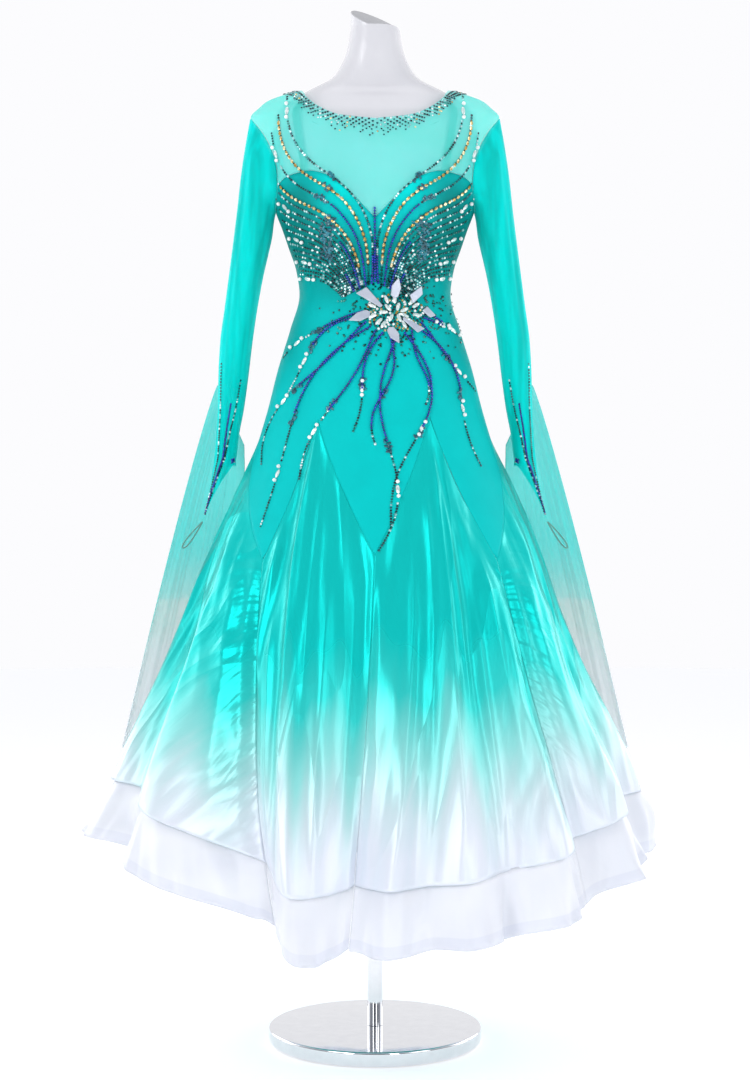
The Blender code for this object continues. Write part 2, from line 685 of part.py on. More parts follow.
def panel_ends(name, across):
    """Azimuth and height of a panel's top edge and of its hem, from its first seam (0) to its second (1)."""
    panel = PANELS[name]
    first, second = SEAMS[panel.first], SEAMS[panel.second]
    stops = [0.0, 0.5, 1.0]
    top_azimuth = np.interp(across, stops, [first.tip_azimuth, panel.peak_azimuth, second.tip_azimuth])
    top_height = np.interp(across, stops, [first.tip_height, panel.peak_height, second.tip_height])
    hem_azimuth = first.hem_azimuth + (second.hem_azimuth - first.hem_azimuth) * across
    hem_height = (
        first.hem_height * (1 - across) * (1 - 2 * across)
        + 4 * panel.hem_middle * across * (1 - across)
        + second.hem_height * across * (2 * across - 1)
    )
    return top_azimuth, top_height, hem_azimuth, hem_height


def band_drop(name, across):
    """The share of the drop at which the satin ends and the hem band begins."""
    _, top_height, _, hem_height = panel_ends(name, across)
    return 1 - BAND_HEIGHT / (top_height - hem_height)


def panel_point(name, across, drop):
    """Points on a panel at this share of the drop from its top edge to its hem."""
    top_azimuth, top_height, hem_azimuth, hem_height = panel_ends(name, across)
    azimuth = top_azimuth + (hem_azimuth - top_azimuth) * drop
    z = top_height + (hem_height - top_height) * drop
    point = section_point(DRESS, azimuth, z)
    band = band_drop(name, across)
    push = panel_push(name, across, drop) + BAND_FLARE * np.clip((drop - band) / (1 - band), 0, 1)
    outward = point[..., :2] / np.linalg.norm(point[..., :2], axis=-1)[..., None]
    point[..., :2] += outward * push[..., None]
    return point


def inset_edges(grid):
    """The first and last columns moved in by half a seam gap, so that neighbours stay clear."""
    grid = grid.copy()
    for edge, inner in ((0, 1), (-1, -2)):
        step = grid[:, inner] - grid[:, edge]
        grid[:, edge] += step * (SEAM_GAP / np.linalg.norm(step, axis=1))[:, None]
    return grid


def panel_columns(name):
    """Columns of a panel: where the bodice has its own along their seam, on each fold, and in wide gaps."""
    panel = PANELS[name]
    tips = SEAMS[panel.first].tip_azimuth, SEAMS[panel.second].tip_azimuth
    front, back = 90.0 * body_columns(False), 90.0 * body_columns(True)
    body = np.concatenate([front, 180.0 - back, -180.0 - back])
    inside = body[(body >= tips[0]) & (body <= tips[1])]
    columns = list(np.interp(inside, [tips[0], panel.peak_azimuth, tips[1]], [0.0, 0.5, 1.0]))
    for fold in FOLDS:
        if fold.panel == name and min(abs(fold.across - column) for column in columns) > CLOSEST_COLUMNS:
            columns.append(fold.across)
    columns = np.unique(np.round(columns, 6))
    wide = np.diff(columns) > WIDEST_COLUMNS
    return np.sort(np.concatenate([columns, (columns[1:] + columns[:-1])[wide] / 2]))


def build_panel(name, finish):
    """A satin gore: its top follows the bodice's points, and its folds deepen towards the hem."""
    across = panel_columns(name)
    rows = []
    for share in PANEL_ROWS:
        rows.append(panel_point(name, across, share * band_drop(name, across)))
    grid = np.array(rows)[::-1]
    return cloth("skirt_" + name, inset_edges(grid), finish, SATIN_WALL)


def build_band(name, finish):
    """The organza band that stiffens the hem, sewn to the satin's lower edge."""
    across = panel_columns(name)
    start = band_drop(name, across)
    rows = [panel_point(name, across, start + (1 - start) * share) for share in (0.0, 1.0)]
    rows[0][:, 2] -= EDGE_GAP
    grid = np.array(rows)[::-1]
    return cloth("hem_band_" + name, inset_edges(grid), finish, BAND_WALL)


# ---------------------------------------------------------------- waist brooch and back zip


def dress_azimuth_at(x, z):
    """The azimuth of the front surface at this sideways place and height."""
    azimuth = np.linspace(-89.0, 89.0, 357)
    reach = section_point(DRESS, azimuth, np.full(azimuth.shape, z))[:, 0]
    return float(np.interp(x, reach, azimuth))


def rise_above(here, normal, step):
    """How far the dress's surface beside a place rises above the plane that touches it there."""
    place = here + step
    azimuth = dress_azimuth_at(place.x, place.z)
    return (Vector(section_point(DRESS, [azimuth], [place.z])[0]) - here).dot(normal)


def build_stone(number, stone, finish):
    """A flat mirror stone with its face along the waist's surface and its edges bevelled."""
    azimuth = dress_azimuth_at(stone.x, stone.z)
    here = section_point(DRESS, [azimuth], [stone.z])[0]
    beside = section_point(DRESS, [azimuth + 4.0], [stone.z])[0]
    above = section_point(DRESS, [azimuth], [stone.z + 0.01])[0]
    right = Vector(beside - here).normalized()
    normal = right.cross(Vector(above - here)).normalized()
    raised = normal.cross(right)
    lean = math.radians(stone.lean)
    along = right * math.cos(lean) + raised * math.sin(lean)
    across = normal.cross(along)
    corners = [along * (a * stone.length) + across * (b * stone.width) for a, b in STONE_SHAPES[stone.shape]]
    reaches = [corner * share for corner in corners for share in (0.0, 0.5, 1.0)]
    proud = [rise_above(Vector(here), normal, reach) for reach in reaches]
    mesh = bpy.data.meshes.new(f"brooch_stone_{number}")
    shape = bmesh.new()
    start = Vector(here) + normal * (max(proud) + STONE_LIFT)
    verts = [shape.verts.new(start + corner) for corner in corners]
    face = shape.faces.new(verts)
    raised_faces = bmesh.ops.extrude_face_region(shape, geom=[face])["geom"]
    lifted = [item for item in raised_faces if isinstance(item, bmesh.types.BMVert)]
    bmesh.ops.translate(shape, verts=lifted, vec=normal * STONE_THICKNESS)
    bmesh.ops.recalc_face_normals(shape, faces=shape.faces[:])
    shape.to_mesh(mesh)
    shape.free()
    return add_object(f"brooch_stone_{number}", mesh, finish)


def build_zip(finish):
    """The concealed zip's closed welt down the centre back seam, its pull tucked inside the top."""
    bodice = body_grid(BACK_TOP, BODICE_ROWS, back=True, low_edge=None)
    yoke = body_grid(BACK_NECKLINE, YOKE_ROWS, back=True, low_edge=BACK_TOP)
    centre = np.argmin(np.abs(body_columns(True)))
    line = np.concatenate([body[:, centre] for body in (bodice, yoke)])
    line = line[(line[:, 2] > ZIP_BOTTOM)] + np.array([0.0, ZIP_LIFT + ZIP_WALL, 0.0])
    across = np.array([ZIP_HALF_WIDTH, 0.0, -ZIP_HALF_WIDTH])
    grid = line[:, None, :] + across[None, :, None] * np.array([1.0, 0.0, 0.0])
    return cloth("back_zip", grid, finish, ZIP_WALL)


# ---------------------------------------------------------------- assembly


def main():
    start_clean()
    chrome = material("chrome_plate", CHROME, 0.06, metallic=1.0)
    moulded = material("moulded_white_form", FORM_WHITE, 0.35)
    jersey = material("teal_stretch_jersey", TEAL, 0.55)
    sheer = material("aqua_illusion_mesh", AQUA, 0.70, alpha=0.7)
    chiffon = material("cyan_stretch_chiffon", CYAN, 0.60)
    satin = material("teal_liquid_satin", TEAL, 0.28)
    organza = material("white_organza", PALE, 0.45)
    elastic = material("grey_elastic", LOOP_GREY, 0.6)
    mirror = material("mirror_stone", MIRROR_GREY, 0.1, metallic=0.6)
    strap = material("strap_elastic", STRAP_GREEN, 0.6)

    build_base(chrome)
    build_pole(chrome)
    build_form(moulded)
    build_body("bodice_front", jersey, JERSEY_WALL, SWEETHEART, BODICE_ROWS, back=False)
    build_body("bodice_back", jersey, JERSEY_WALL, BACK_TOP, BODICE_ROWS, back=True)
    build_body("yoke_front", sheer, MESH_WALL, FRONT_NECKLINE, YOKE_ROWS, back=False, low_edge=SWEETHEART)
    build_body("yoke_back", sheer, MESH_WALL, BACK_NECKLINE, YOKE_ROWS, back=True, low_edge=BACK_TOP)
    build_zip(jersey)
    for word, side in (("left", 1), ("right", -1)):
        build_strap("strap_" + word, strap, side)
        build_sleeve("sleeve_" + word, chiffon, side)
        build_float("float_" + word, chiffon, side)
        build_loop("finger_loop_" + word, elastic, side)
    for name in PANELS:
        build_panel(name, satin)
        build_band(name, organza)
    for number, stone in enumerate(STONES, start=1):
        build_stone(number, stone, mirror)


main()
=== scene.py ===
"""The looks of a ballroom dance dress on its dress form and chrome stand, piece by piece.

Metres, +Z up, the dress's front towards -Y and the wearer's left at +X. An azimuth runs round the body in
degrees: 0 at the front, 90 at the wearer's left, 180 at the back and -90 at the wearer's right.
"""

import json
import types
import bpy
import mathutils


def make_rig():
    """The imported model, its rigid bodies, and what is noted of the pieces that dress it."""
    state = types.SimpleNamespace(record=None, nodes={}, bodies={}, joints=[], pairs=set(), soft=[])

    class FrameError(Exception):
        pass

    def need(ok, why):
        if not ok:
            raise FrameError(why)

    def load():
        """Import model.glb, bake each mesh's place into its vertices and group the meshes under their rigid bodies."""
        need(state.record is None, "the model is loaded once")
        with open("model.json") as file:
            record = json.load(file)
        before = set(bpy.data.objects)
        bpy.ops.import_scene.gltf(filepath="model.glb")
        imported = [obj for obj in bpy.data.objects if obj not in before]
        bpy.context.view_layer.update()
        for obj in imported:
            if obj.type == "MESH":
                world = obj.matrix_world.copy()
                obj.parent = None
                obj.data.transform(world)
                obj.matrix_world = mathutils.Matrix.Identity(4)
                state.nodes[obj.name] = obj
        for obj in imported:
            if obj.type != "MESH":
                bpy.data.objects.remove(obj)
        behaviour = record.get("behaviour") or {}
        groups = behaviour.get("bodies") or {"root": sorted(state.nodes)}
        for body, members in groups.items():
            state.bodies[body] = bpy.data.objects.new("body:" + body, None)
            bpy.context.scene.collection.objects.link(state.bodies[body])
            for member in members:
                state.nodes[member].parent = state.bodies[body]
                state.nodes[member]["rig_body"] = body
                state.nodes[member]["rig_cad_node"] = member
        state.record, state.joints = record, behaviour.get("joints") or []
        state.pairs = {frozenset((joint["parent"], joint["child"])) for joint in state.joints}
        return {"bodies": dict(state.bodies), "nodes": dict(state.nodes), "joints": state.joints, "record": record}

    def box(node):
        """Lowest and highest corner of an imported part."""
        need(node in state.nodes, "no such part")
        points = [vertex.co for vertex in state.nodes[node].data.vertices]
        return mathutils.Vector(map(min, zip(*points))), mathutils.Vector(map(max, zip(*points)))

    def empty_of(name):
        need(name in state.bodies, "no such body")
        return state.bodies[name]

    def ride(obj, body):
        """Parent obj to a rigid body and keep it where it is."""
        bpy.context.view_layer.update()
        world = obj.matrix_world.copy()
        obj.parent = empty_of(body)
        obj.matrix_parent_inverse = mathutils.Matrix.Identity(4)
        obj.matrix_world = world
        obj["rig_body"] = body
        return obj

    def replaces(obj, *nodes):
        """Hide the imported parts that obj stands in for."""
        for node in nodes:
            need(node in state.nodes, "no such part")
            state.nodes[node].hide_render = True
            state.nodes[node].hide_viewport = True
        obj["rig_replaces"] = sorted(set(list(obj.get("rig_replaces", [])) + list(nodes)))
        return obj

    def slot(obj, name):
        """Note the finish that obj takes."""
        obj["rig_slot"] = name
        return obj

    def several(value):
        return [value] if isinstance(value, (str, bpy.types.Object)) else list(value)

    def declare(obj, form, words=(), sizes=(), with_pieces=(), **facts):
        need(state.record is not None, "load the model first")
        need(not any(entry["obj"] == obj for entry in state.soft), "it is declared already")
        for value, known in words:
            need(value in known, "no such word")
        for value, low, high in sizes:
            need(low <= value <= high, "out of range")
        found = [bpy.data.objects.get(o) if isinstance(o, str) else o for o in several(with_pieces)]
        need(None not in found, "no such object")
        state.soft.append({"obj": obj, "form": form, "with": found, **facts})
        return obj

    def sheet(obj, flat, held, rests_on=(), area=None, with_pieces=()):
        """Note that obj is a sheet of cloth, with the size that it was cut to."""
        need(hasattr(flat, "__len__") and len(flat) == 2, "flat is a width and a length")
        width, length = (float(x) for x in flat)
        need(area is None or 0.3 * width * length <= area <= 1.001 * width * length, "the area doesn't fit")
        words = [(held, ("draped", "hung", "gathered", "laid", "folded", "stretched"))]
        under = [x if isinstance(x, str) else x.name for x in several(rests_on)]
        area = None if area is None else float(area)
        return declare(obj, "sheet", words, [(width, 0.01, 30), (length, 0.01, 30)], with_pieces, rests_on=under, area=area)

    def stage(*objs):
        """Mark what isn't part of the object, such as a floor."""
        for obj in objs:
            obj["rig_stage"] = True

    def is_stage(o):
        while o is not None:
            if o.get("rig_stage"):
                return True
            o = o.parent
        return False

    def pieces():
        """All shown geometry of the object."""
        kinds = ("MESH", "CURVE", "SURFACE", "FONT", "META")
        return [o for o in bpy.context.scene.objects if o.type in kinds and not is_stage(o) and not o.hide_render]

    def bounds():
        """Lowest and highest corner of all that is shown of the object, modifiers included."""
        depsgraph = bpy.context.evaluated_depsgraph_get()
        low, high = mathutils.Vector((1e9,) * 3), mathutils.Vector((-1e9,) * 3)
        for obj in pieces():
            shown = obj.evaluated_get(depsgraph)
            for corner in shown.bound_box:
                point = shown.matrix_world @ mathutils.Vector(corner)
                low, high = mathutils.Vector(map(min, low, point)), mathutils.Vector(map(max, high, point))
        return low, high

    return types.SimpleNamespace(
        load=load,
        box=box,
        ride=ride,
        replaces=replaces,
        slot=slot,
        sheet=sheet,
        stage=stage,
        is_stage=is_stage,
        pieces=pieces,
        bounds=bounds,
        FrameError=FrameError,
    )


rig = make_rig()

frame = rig.load()
cad_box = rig.bounds()

import json
from collections import namedtuple

import bmesh
import bpy
import numpy as np
from mathutils import Vector

# ---------------------------------------------------------------- camera, floor and studio light
# A photo studio: a camera at waist height, a pale seamless floor, a bright room behind the stand and a
# dimmer one in front of it, softboxes round it, and two tall strip lights that put streaks on the satin.

EYE_DISTANCE = 3.03
EYE_HEIGHT = 0.785
LENS_MM = 64.3
FLOOR_RADIUS = 9.0


def linear(hex_colour):
    """An sRGB hex colour as linear RGBA: each channel undone by the sRGB curve."""
    srgb = np.array([int(hex_colour[k : k + 2], 16) for k in (1, 3, 5)]) / 255
    return (*np.where(srgb > 0.04045, ((srgb + 0.055) / 1.055) ** 2.4, srgb / 12.92).tolist(), 1.0)


def node(tree, kind, settings=None, **inputs):
    """Adds a shader node: settings are its attributes, inputs are values or other nodes' outputs to link."""
    made = tree.nodes.new("ShaderNode" + kind)
    for name, value in (settings or {}).items():
        setattr(made, name, value)
    for name, value in inputs.items():
        socket = made.inputs[int(name[1:])] if name[1:].isdigit() else made.inputs[name.replace("_", " ")]
        if isinstance(value, bpy.types.NodeSocket):
            tree.links.new(value, socket)
        else:
            socket.default_value = value
    return made


def ramp(tree, fac, stops):
    """A colour ramp through (place, hex colour) stops."""
    made = node(tree, "ValToRGB", Fac=fac)
    points = made.color_ramp.elements
    while len(points) < len(stops):
        points.new(0.5)
    for point, (place, colour) in zip(points, stops):
        point.position = place
        point.color = linear(colour)
    return made.outputs["Color"]


def finish(name):
    """A new material and its empty tree, with the shader that the caller sets up and a clear output."""
    made = bpy.data.materials.new(name)
    made.use_nodes = True
    made.node_tree.nodes.clear()
    output = made.node_tree.nodes.new("ShaderNodeOutputMaterial")
    shader = made.node_tree.nodes.new("ShaderNodeBsdfPrincipled")
    made.node_tree.links.new(shader.outputs[0], output.inputs[0])
    return made, made.node_tree, shader


def set_shader(tree, shader, **inputs):
    """Sets the shader's own sockets: a number or colour stays on the socket, an output is linked."""
    for name, value in inputs.items():
        socket = shader.inputs[name.replace("_", " ")]
        if isinstance(value, bpy.types.NodeSocket):
            tree.links.new(value, socket)
        else:
            socket.default_value = value


def table(columns, *rows):
    """Rows with named columns."""
    row_type = namedtuple("Row", columns)
    return [row_type(*row) for row in rows]


camera = bpy.data.objects.new("camera", bpy.data.cameras.new("camera"))
camera.data.lens = LENS_MM
camera.data.sensor_width = 36.0
camera.location = (0.0, -EYE_DISTANCE, EYE_HEIGHT)
camera.rotation_euler = (np.pi / 2, 0.0, 0.0)
bpy.context.scene.collection.objects.link(camera)
bpy.context.scene.camera = camera
bpy.context.scene.view_settings.view_transform = "Standard"

FLOOR_SIDES = 96
FLOOR_DROP = 0.0006
turns = np.linspace(0, 2 * np.pi, FLOOR_SIDES, endpoint=False)
floor_mesh = bpy.data.meshes.new("floor")
floor_ring = FLOOR_RADIUS * np.stack([np.cos(turns), np.sin(turns), 0 * turns], axis=-1)
floor_mesh.from_pydata((floor_ring - [0, 0, FLOOR_DROP]).tolist(), [], [list(range(FLOOR_SIDES))])
floor = bpy.data.objects.new("floor", floor_mesh)
bpy.context.scene.collection.objects.link(floor)
paper, tree, shader = finish("white_seamless_paper")
grain = node(tree, "TexNoise", Scale=900.0, Detail=2.0, Vector=node(tree, "TexCoord").outputs["Object"])
shade = ramp(tree, grain.outputs["Fac"], [(0.3, "#f2f2f4"), (0.7, "#fafafb")])
set_shader(tree, shader, Base_Color=shade, Roughness=0.8)
set_shader(tree, shader, Emission_Color=linear("#ffffff"), Emission_Strength=0.34)
floor.data.materials.append(paper)
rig.stage(floor)

# The room: bright behind (+Y) and dim in front, seen by the satin and the chrome; plain white to the lens.
world = bpy.data.worlds.new("studio")
world.use_nodes = True
bpy.context.scene.world = world
tree = world.node_tree
tree.nodes.clear()
towards = node(tree, "SeparateXYZ", Vector=node(tree, "TexCoord").outputs["Generated"])
depth = node(tree, "MapRange", Value=towards.outputs["Y"], From_Min=-1.0, From_Max=0.35)
room = ramp(
    tree, depth.outputs["Result"],
    [(0.0, "#2e3136"), (0.045, "#8f9399"), (0.35, "#989ca2"), (0.65, "#bdc0c6"), (1.0, "#fbfbfd")],
)
seen = node(tree, "LightPath")
mixed = node(tree, "MixRGB", Fac=seen.outputs["Is Camera Ray"], Color1=room, Color2=linear("#fcfcfe"))
light = node(tree, "Background", Color=mixed.outputs["Color"], Strength=1.0)
tree.links.new(light.outputs[0], node(tree, "OutputWorld").inputs[0])

LIT_HEIGHT = 0.9  # where every softbox points
SOFTBOXES = table(
    "name place width height watts",
    ("key", (-2.1, -2.3, 2.3), 1.3, 1.6, 26.0),
    ("fill", (2.4, -2.0, 1.7), 1.2, 1.8, 17.0),
    ("strip_left", (-1.25, -2.5, 0.95), 0.42, 2.0, 9.0),
    ("strip_right", (0.95, -2.6, 0.95), 0.42, 2.0, 9.0),
    ("side_left", (-2.9, 0.7, 1.0), 1.0, 2.0, 9.0),
    ("side_right", (2.9, 0.7, 1.0), 1.0, 2.0, 9.0),
    ("behind_left", (-2.2, 2.0, 1.4), 1.2, 1.8, 20.0),
    ("behind_right", (2.2, 2.0, 1.4), 1.2, 1.8, 20.0),
    ("top", (0.0, -0.4, 3.4), 1.6, 1.6, 10.0),
)
for box in SOFTBOXES:
    lamp = bpy.data.lights.new(box.name, "AREA")
    lamp.shape, lamp.size, lamp.size_y, lamp.energy = "RECTANGLE", box.width, box.height, box.watts
    holder = bpy.data.objects.new(box.name, lamp)
    holder.location = box.place
    aim = Vector((0, 0, LIT_HEIGHT)) - Vector(box.place)
    holder.rotation_euler = aim.to_track_quat("-Z", "Y").to_euler()
    bpy.context.scene.collection.objects.link(holder)

# ---------------------------------------------------------------- chrome base and pole
# A steel disc with a rolled rim and a tube that stands in it, both copper-nickel-chrome plated and
# mirror polished, so they show the room as sharp dark and bright bands.

BASE_EDGE = 0.007


def ride_on_frame(piece, slot, *nodes):
    """The piece moves with the one rigid body, takes its finish from the slot and stands for these nodes."""
    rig.ride(piece, "root")
    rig.slot(piece, slot)
    if nodes:
        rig.replaces(piece, *nodes)
    return piece


def mesh_piece(name, points, faces, material, sharp_degrees=None):
    """An object at the origin with this mesh, shaded smooth, with edges over an angle kept sharp."""
    mesh = bpy.data.meshes.new(name)
    mesh.from_pydata(np.asarray(points, float).reshape(-1, 3).tolist(), [], faces)
    mesh.update()
    mesh.shade_smooth()
    if sharp_degrees:
        mesh.set_sharp_from_angle(angle=np.radians(sharp_degrees))
    mesh.materials.append(material)
    made = bpy.data.objects.new(name, mesh)
    bpy.context.scene.collection.objects.link(made)
    return made


def grid_quads(rows, columns, wrap=False):
    """The quads of a grid whose rows run up and whose columns run anticlockwise, facing outwards."""
    index = np.arange(rows * columns).reshape(rows, columns)
    if wrap:
        index = np.concatenate([index, index[:, :1]], axis=1)
    corners = index[:-1, :-1], index[:-1, 1:], index[1:, 1:], index[1:, :-1]
    return np.stack(corners, axis=-1).reshape(-1, 4).tolist()


def turned(name, profile, material, sides=160, sharp_degrees=30):
    """A closed lathe shape: each (radius, height) of the profile, bottom to top, makes a ring round Z."""
    angle = np.arange(sides) * 2 * np.pi / sides
    radius, height = np.array(profile).T
    x = radius[:, None] * np.cos(angle)
    y = radius[:, None] * np.sin(angle)
    rings = np.stack([x, y, np.broadcast_to(height[:, None], x.shape)], axis=-1)
    count = len(profile)
    caps = [list(range(sides))[::-1], [(count - 1) * sides + k for k in range(sides)]]
    return mesh_piece(name, rings, grid_quads(count, sides, wrap=True) + caps, material, sharp_degrees)


# Chrome plate: nearly colourless metal, almost no roughness, with faint polishing haze.
chrome, tree, shader = finish("mirror_chrome_plate")
place = node(tree, "TexCoord").outputs["Object"]
haze = node(tree, "TexNoise", Scale=60.0, Detail=3.0, Vector=place)
polish = node(tree, "MapRange", Value=haze.outputs["Fac"], To_Min=0.035, To_Max=0.075)
tint = ramp(tree, haze.outputs["Fac"], [(0.0, "#d9dade"), (1.0, "#e6e7ea")])
set_shader(tree, shader, Base_Color=tint, Metallic=1.0, Roughness=polish.outputs["Result"])

base_low, base_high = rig.box("stand_base")
base_radius, base_top = base_high.x, base_high.z
arc = np.linspace(0, np.pi / 2, 9)
top_edge = BASE_EDGE / 2
rim = [(base_radius - top_edge * (1 - np.cos(a)), base_top - top_edge * (1 - np.sin(a))) for a in arc]
foot = [(base_radius - BASE_EDGE * (1 - np.sin(a)), BASE_EDGE * (1 - np.cos(a))) for a in arc]
base = turned("chrome_base", [*foot, *rim], chrome)
ride_on_frame(base, "chrome_plate", "stand_base")

pole_low, pole_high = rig.box("stand_pole")
pole_radius = pole_high.x
pole = turned("chrome_pole", [(pole_radius, pole_low.z), (pole_radius, pole_high.z)], chrome, sides=64)
ride_on_frame(pole, "chrome_plate", "stand_pole")

# ---------------------------------------------------------------- dress form
# A limbless torso on a general figure, laid up in fibreglass in a mould and sprayed with glossy white
# gelcoat. Its neck is sawn off on a slant and closed with a grey cap. The pole goes up into its underside.

NECK_TOP = 1.598
NECK_CUT_SIDE = -0.41
NECK_CUT_FRONT = 0.45
BUST_HEIGHT = 1.288
BUST_APART = 0.070
BUST_DEPTH = 0.030
BUST_WIDTH = 0.044
BUST_ABOVE = 0.052
BUST_BELOW = 0.034
FORM_FULLNESS = 0.85

SECTION = "height half_width front_depth back_depth"
FORM = table(
    SECTION,
    (0.800, 0.128, 0.090, 0.096),
    (0.812, 0.150, 0.108, 0.116),
    (0.850, 0.165, 0.118, 0.126),
    (0.900, 0.171, 0.123, 0.129),
    (0.955, 0.169, 0.124, 0.128),
    (1.000, 0.158, 0.119, 0.122),
    (1.052, 0.1465, 0.1095, 0.1115),
    (1.115, 0.1272, 0.0935, 0.0915),
    (1.1697, 0.1130, 0.0825, 0.0745),
    (1.209, 0.1185, 0.0865, 0.0765),
    (1.240, 0.1290, 0.0925, 0.0815),
    (1.272, 0.1400, 0.0975, 0.0865),
    (1.300, 0.1480, 0.1005, 0.0895),
    (1.340, 0.1545, 0.1005, 0.0915),
    (1.380, 0.1590, 0.0945, 0.0905),
    (1.410, 0.1610, 0.0845, 0.0865),
    (1.4464, 0.1580, 0.0710, 0.0775),
    (1.4617, 0.1490, 0.0640, 0.0710),
    (1.4704, 0.1390, 0.0600, 0.0670),
    (1.4758, 0.1280, 0.0580, 0.0640),
    (1.4877, 0.1060, 0.0525, 0.0590),
    (1.507, 0.0690, 0.0500, 0.0560),
    (1.523, 0.0565, 0.0485, 0.0530),
    (1.554, 0.0440, 0.0460, 0.0480),
    (1.585, 0.0385, 0.0420, 0.0440),
)


def through(knots, values, where):
    """A smooth line through the knots that never overshoots: a cubic between knots, whose slope at each
    knot is the harmonic mean of the slopes beside it, or 0 at a turn."""
    x, y = np.array(knots, float), np.array(values, float)
    step = np.diff(x)
    slope = np.diff(y) / step
    tangent = np.zeros(len(x))
    same_way = slope[:-1] * slope[1:] > 0
    first, second = 2 * step[1:] + step[:-1], step[1:] + 2 * step[:-1]
    safe_a = np.where(same_way, slope[:-1], 1.0)
    safe_b = np.where(same_way, slope[1:], 1.0)
    tangent[1:-1] = np.where(same_way, (first + second) / (first / safe_a + second / safe_b), 0.0)
    tangent[0], tangent[-1] = slope[0], slope[-1]
    at = np.clip(np.asarray(where, float), x[0], x[-1])
    k = np.clip(np.searchsorted(x, at) - 1, 0, len(x) - 2)
    h, f = step[k], (at - x[k]) / step[k]
    rise = y[k] * (1 + 2 * f) * (1 - f) ** 2 + tangent[k] * h * f * (1 - f) ** 2
    return rise + y[k + 1] * f * f * (3 - 2 * f) + tangent[k + 1] * h * f * f * (f - 1)


def sizes_at(sections, z):
    """Half width, front depth and back depth of a table of sections at these heights."""
    heights, *sizes = zip(*sections)
    return [through(heights, size, z) for size in sizes]


def bust(x, z):
    """Extra depth over the cups: a bell across each cup times a bell up it, tighter below than above."""
    rise = np.where(z > BUST_HEIGHT, BUST_ABOVE, BUST_BELOW)
    across = np.exp(-(((np.abs(x) - BUST_APART) / BUST_WIDTH) ** 2))
    return BUST_DEPTH * across * np.exp(-(((z - BUST_HEIGHT) / rise) ** 2))


def boxiness(z):
    """The superellipse's exponent: a plain ellipse (1) at the skirt, a little squarer at the body."""
    return 1.0 - 0.12 * np.clip((z - 0.85) / 0.15, 0, 1)


def section_point(sections, azimuth, z, out=0.0, fullness=1.0):
    """A point of the body at an azimuth and height: each section is half an ellipse in front and half
    behind, x = width sin(azimuth) and y = -depth cos(azimuth), moved out and filled over the bust."""
    turn = np.radians(np.asarray(azimuth, float))
    z = np.broadcast_to(np.asarray(z, float), turn.shape)
    width, front, back = sizes_at(sections, z)
    s, c = np.sin(turn), np.cos(turn)
    x = (width + out) * np.sign(s) * np.abs(s) ** boxiness(z)
    y = -(np.where(c > 0, front, back) + out) * np.sign(c) * np.abs(c) ** boxiness(z)
    y = y - np.where(c > 0, fullness * bust(x, z) * np.minimum(1.0, 4 * np.abs(c)), 0.0)
    return np.stack([x, y, z], axis=-1)


# Gelcoat: a glossy white resin skin, with the slightest orange peel from the spray gun.
gelcoat, tree, shader = finish("glossy_white_gelcoat")
place = node(tree, "TexCoord").outputs["Object"]
peel = node(tree, "TexNoise", Scale=220.0, Detail=1.0, Vector=place)
dust = node(tree, "TexNoise", Scale=9.0, Detail=4.0, Vector=place)
white = ramp(tree, dust.outputs["Fac"], [(0.3, "#d6d5da"), (0.7, "#dfdee2")])
dimple = node(tree, "Bump", Strength=0.04, Distance=0.0004, Height=peel.outputs["Fac"])
set_shader(tree, shader, Base_Color=white, Roughness=0.22, IOR=1.5, Normal=dimple.outputs["Normal"])
set_shader(tree, shader, Coat_Weight=0.4, Coat_Roughness=0.06)
neck_cap, tree, shader = finish("grey_neck_cap_board")
grain = node(tree, "TexNoise", Scale=400.0, Detail=2.0, Vector=node(tree, "TexCoord").outputs["Object"])
grey = ramp(tree, grain.outputs["Fac"], [(0.3, "#a9a9ad"), (0.7, "#b4b4b8")])
set_shader(tree, shader, Base_Color=grey, Roughness=0.5)

SIDES = 128
CAP_SHARE = 0.965
CAP_RISE = 0.0010
azimuth = (np.arange(SIDES) * 360.0 / SIDES + 180.0) % 360.0 - 180.0
heights = np.concatenate([np.linspace(FORM[0].height, 1.43, 80), np.linspace(1.434, FORM[-1].height, 60)])
rings = [section_point(FORM, azimuth, np.full(SIDES, z), fullness=FORM_FULLNESS) for z in heights]
for share in np.linspace(0, 1, 10)[1:]:
    ring = rings[len(heights) - 1].copy()
    top = NECK_TOP + NECK_CUT_SIDE * ring[:, 0] + NECK_CUT_FRONT * ring[:, 1]
    ring[:, 2] += share * (top - ring[:, 2])
    rings.append(ring)
edge = rings[-1]
middle = edge.mean(axis=0)
rings.append(middle + (edge - middle) * CAP_SHARE + [0, 0, CAP_RISE])
grid = np.array(rings)
rows = len(rings)
caps = [list(range(SIDES))[::-1], [(rows - 1) * SIDES + k for k in range(SIDES)]]
form = mesh_piece("fibreglass_form", grid, grid_quads(rows, SIDES, wrap=True) + caps, gelcoat, 40)
form.data.materials.append(neck_cap)
form.data.polygons[len(form.data.polygons) - 1].material_index = 1
ride_on_frame(form, "moulded_form", "dress_form")

# ---------------------------------------------------------------- yoke of illusion mesh
# The sheer shoulder yoke, front and back: one layer of fine aqua stretch mesh from the bodice's top edge
# to the boat neckline, drawn smooth over the white form, so the form lightens it where it lies beneath.

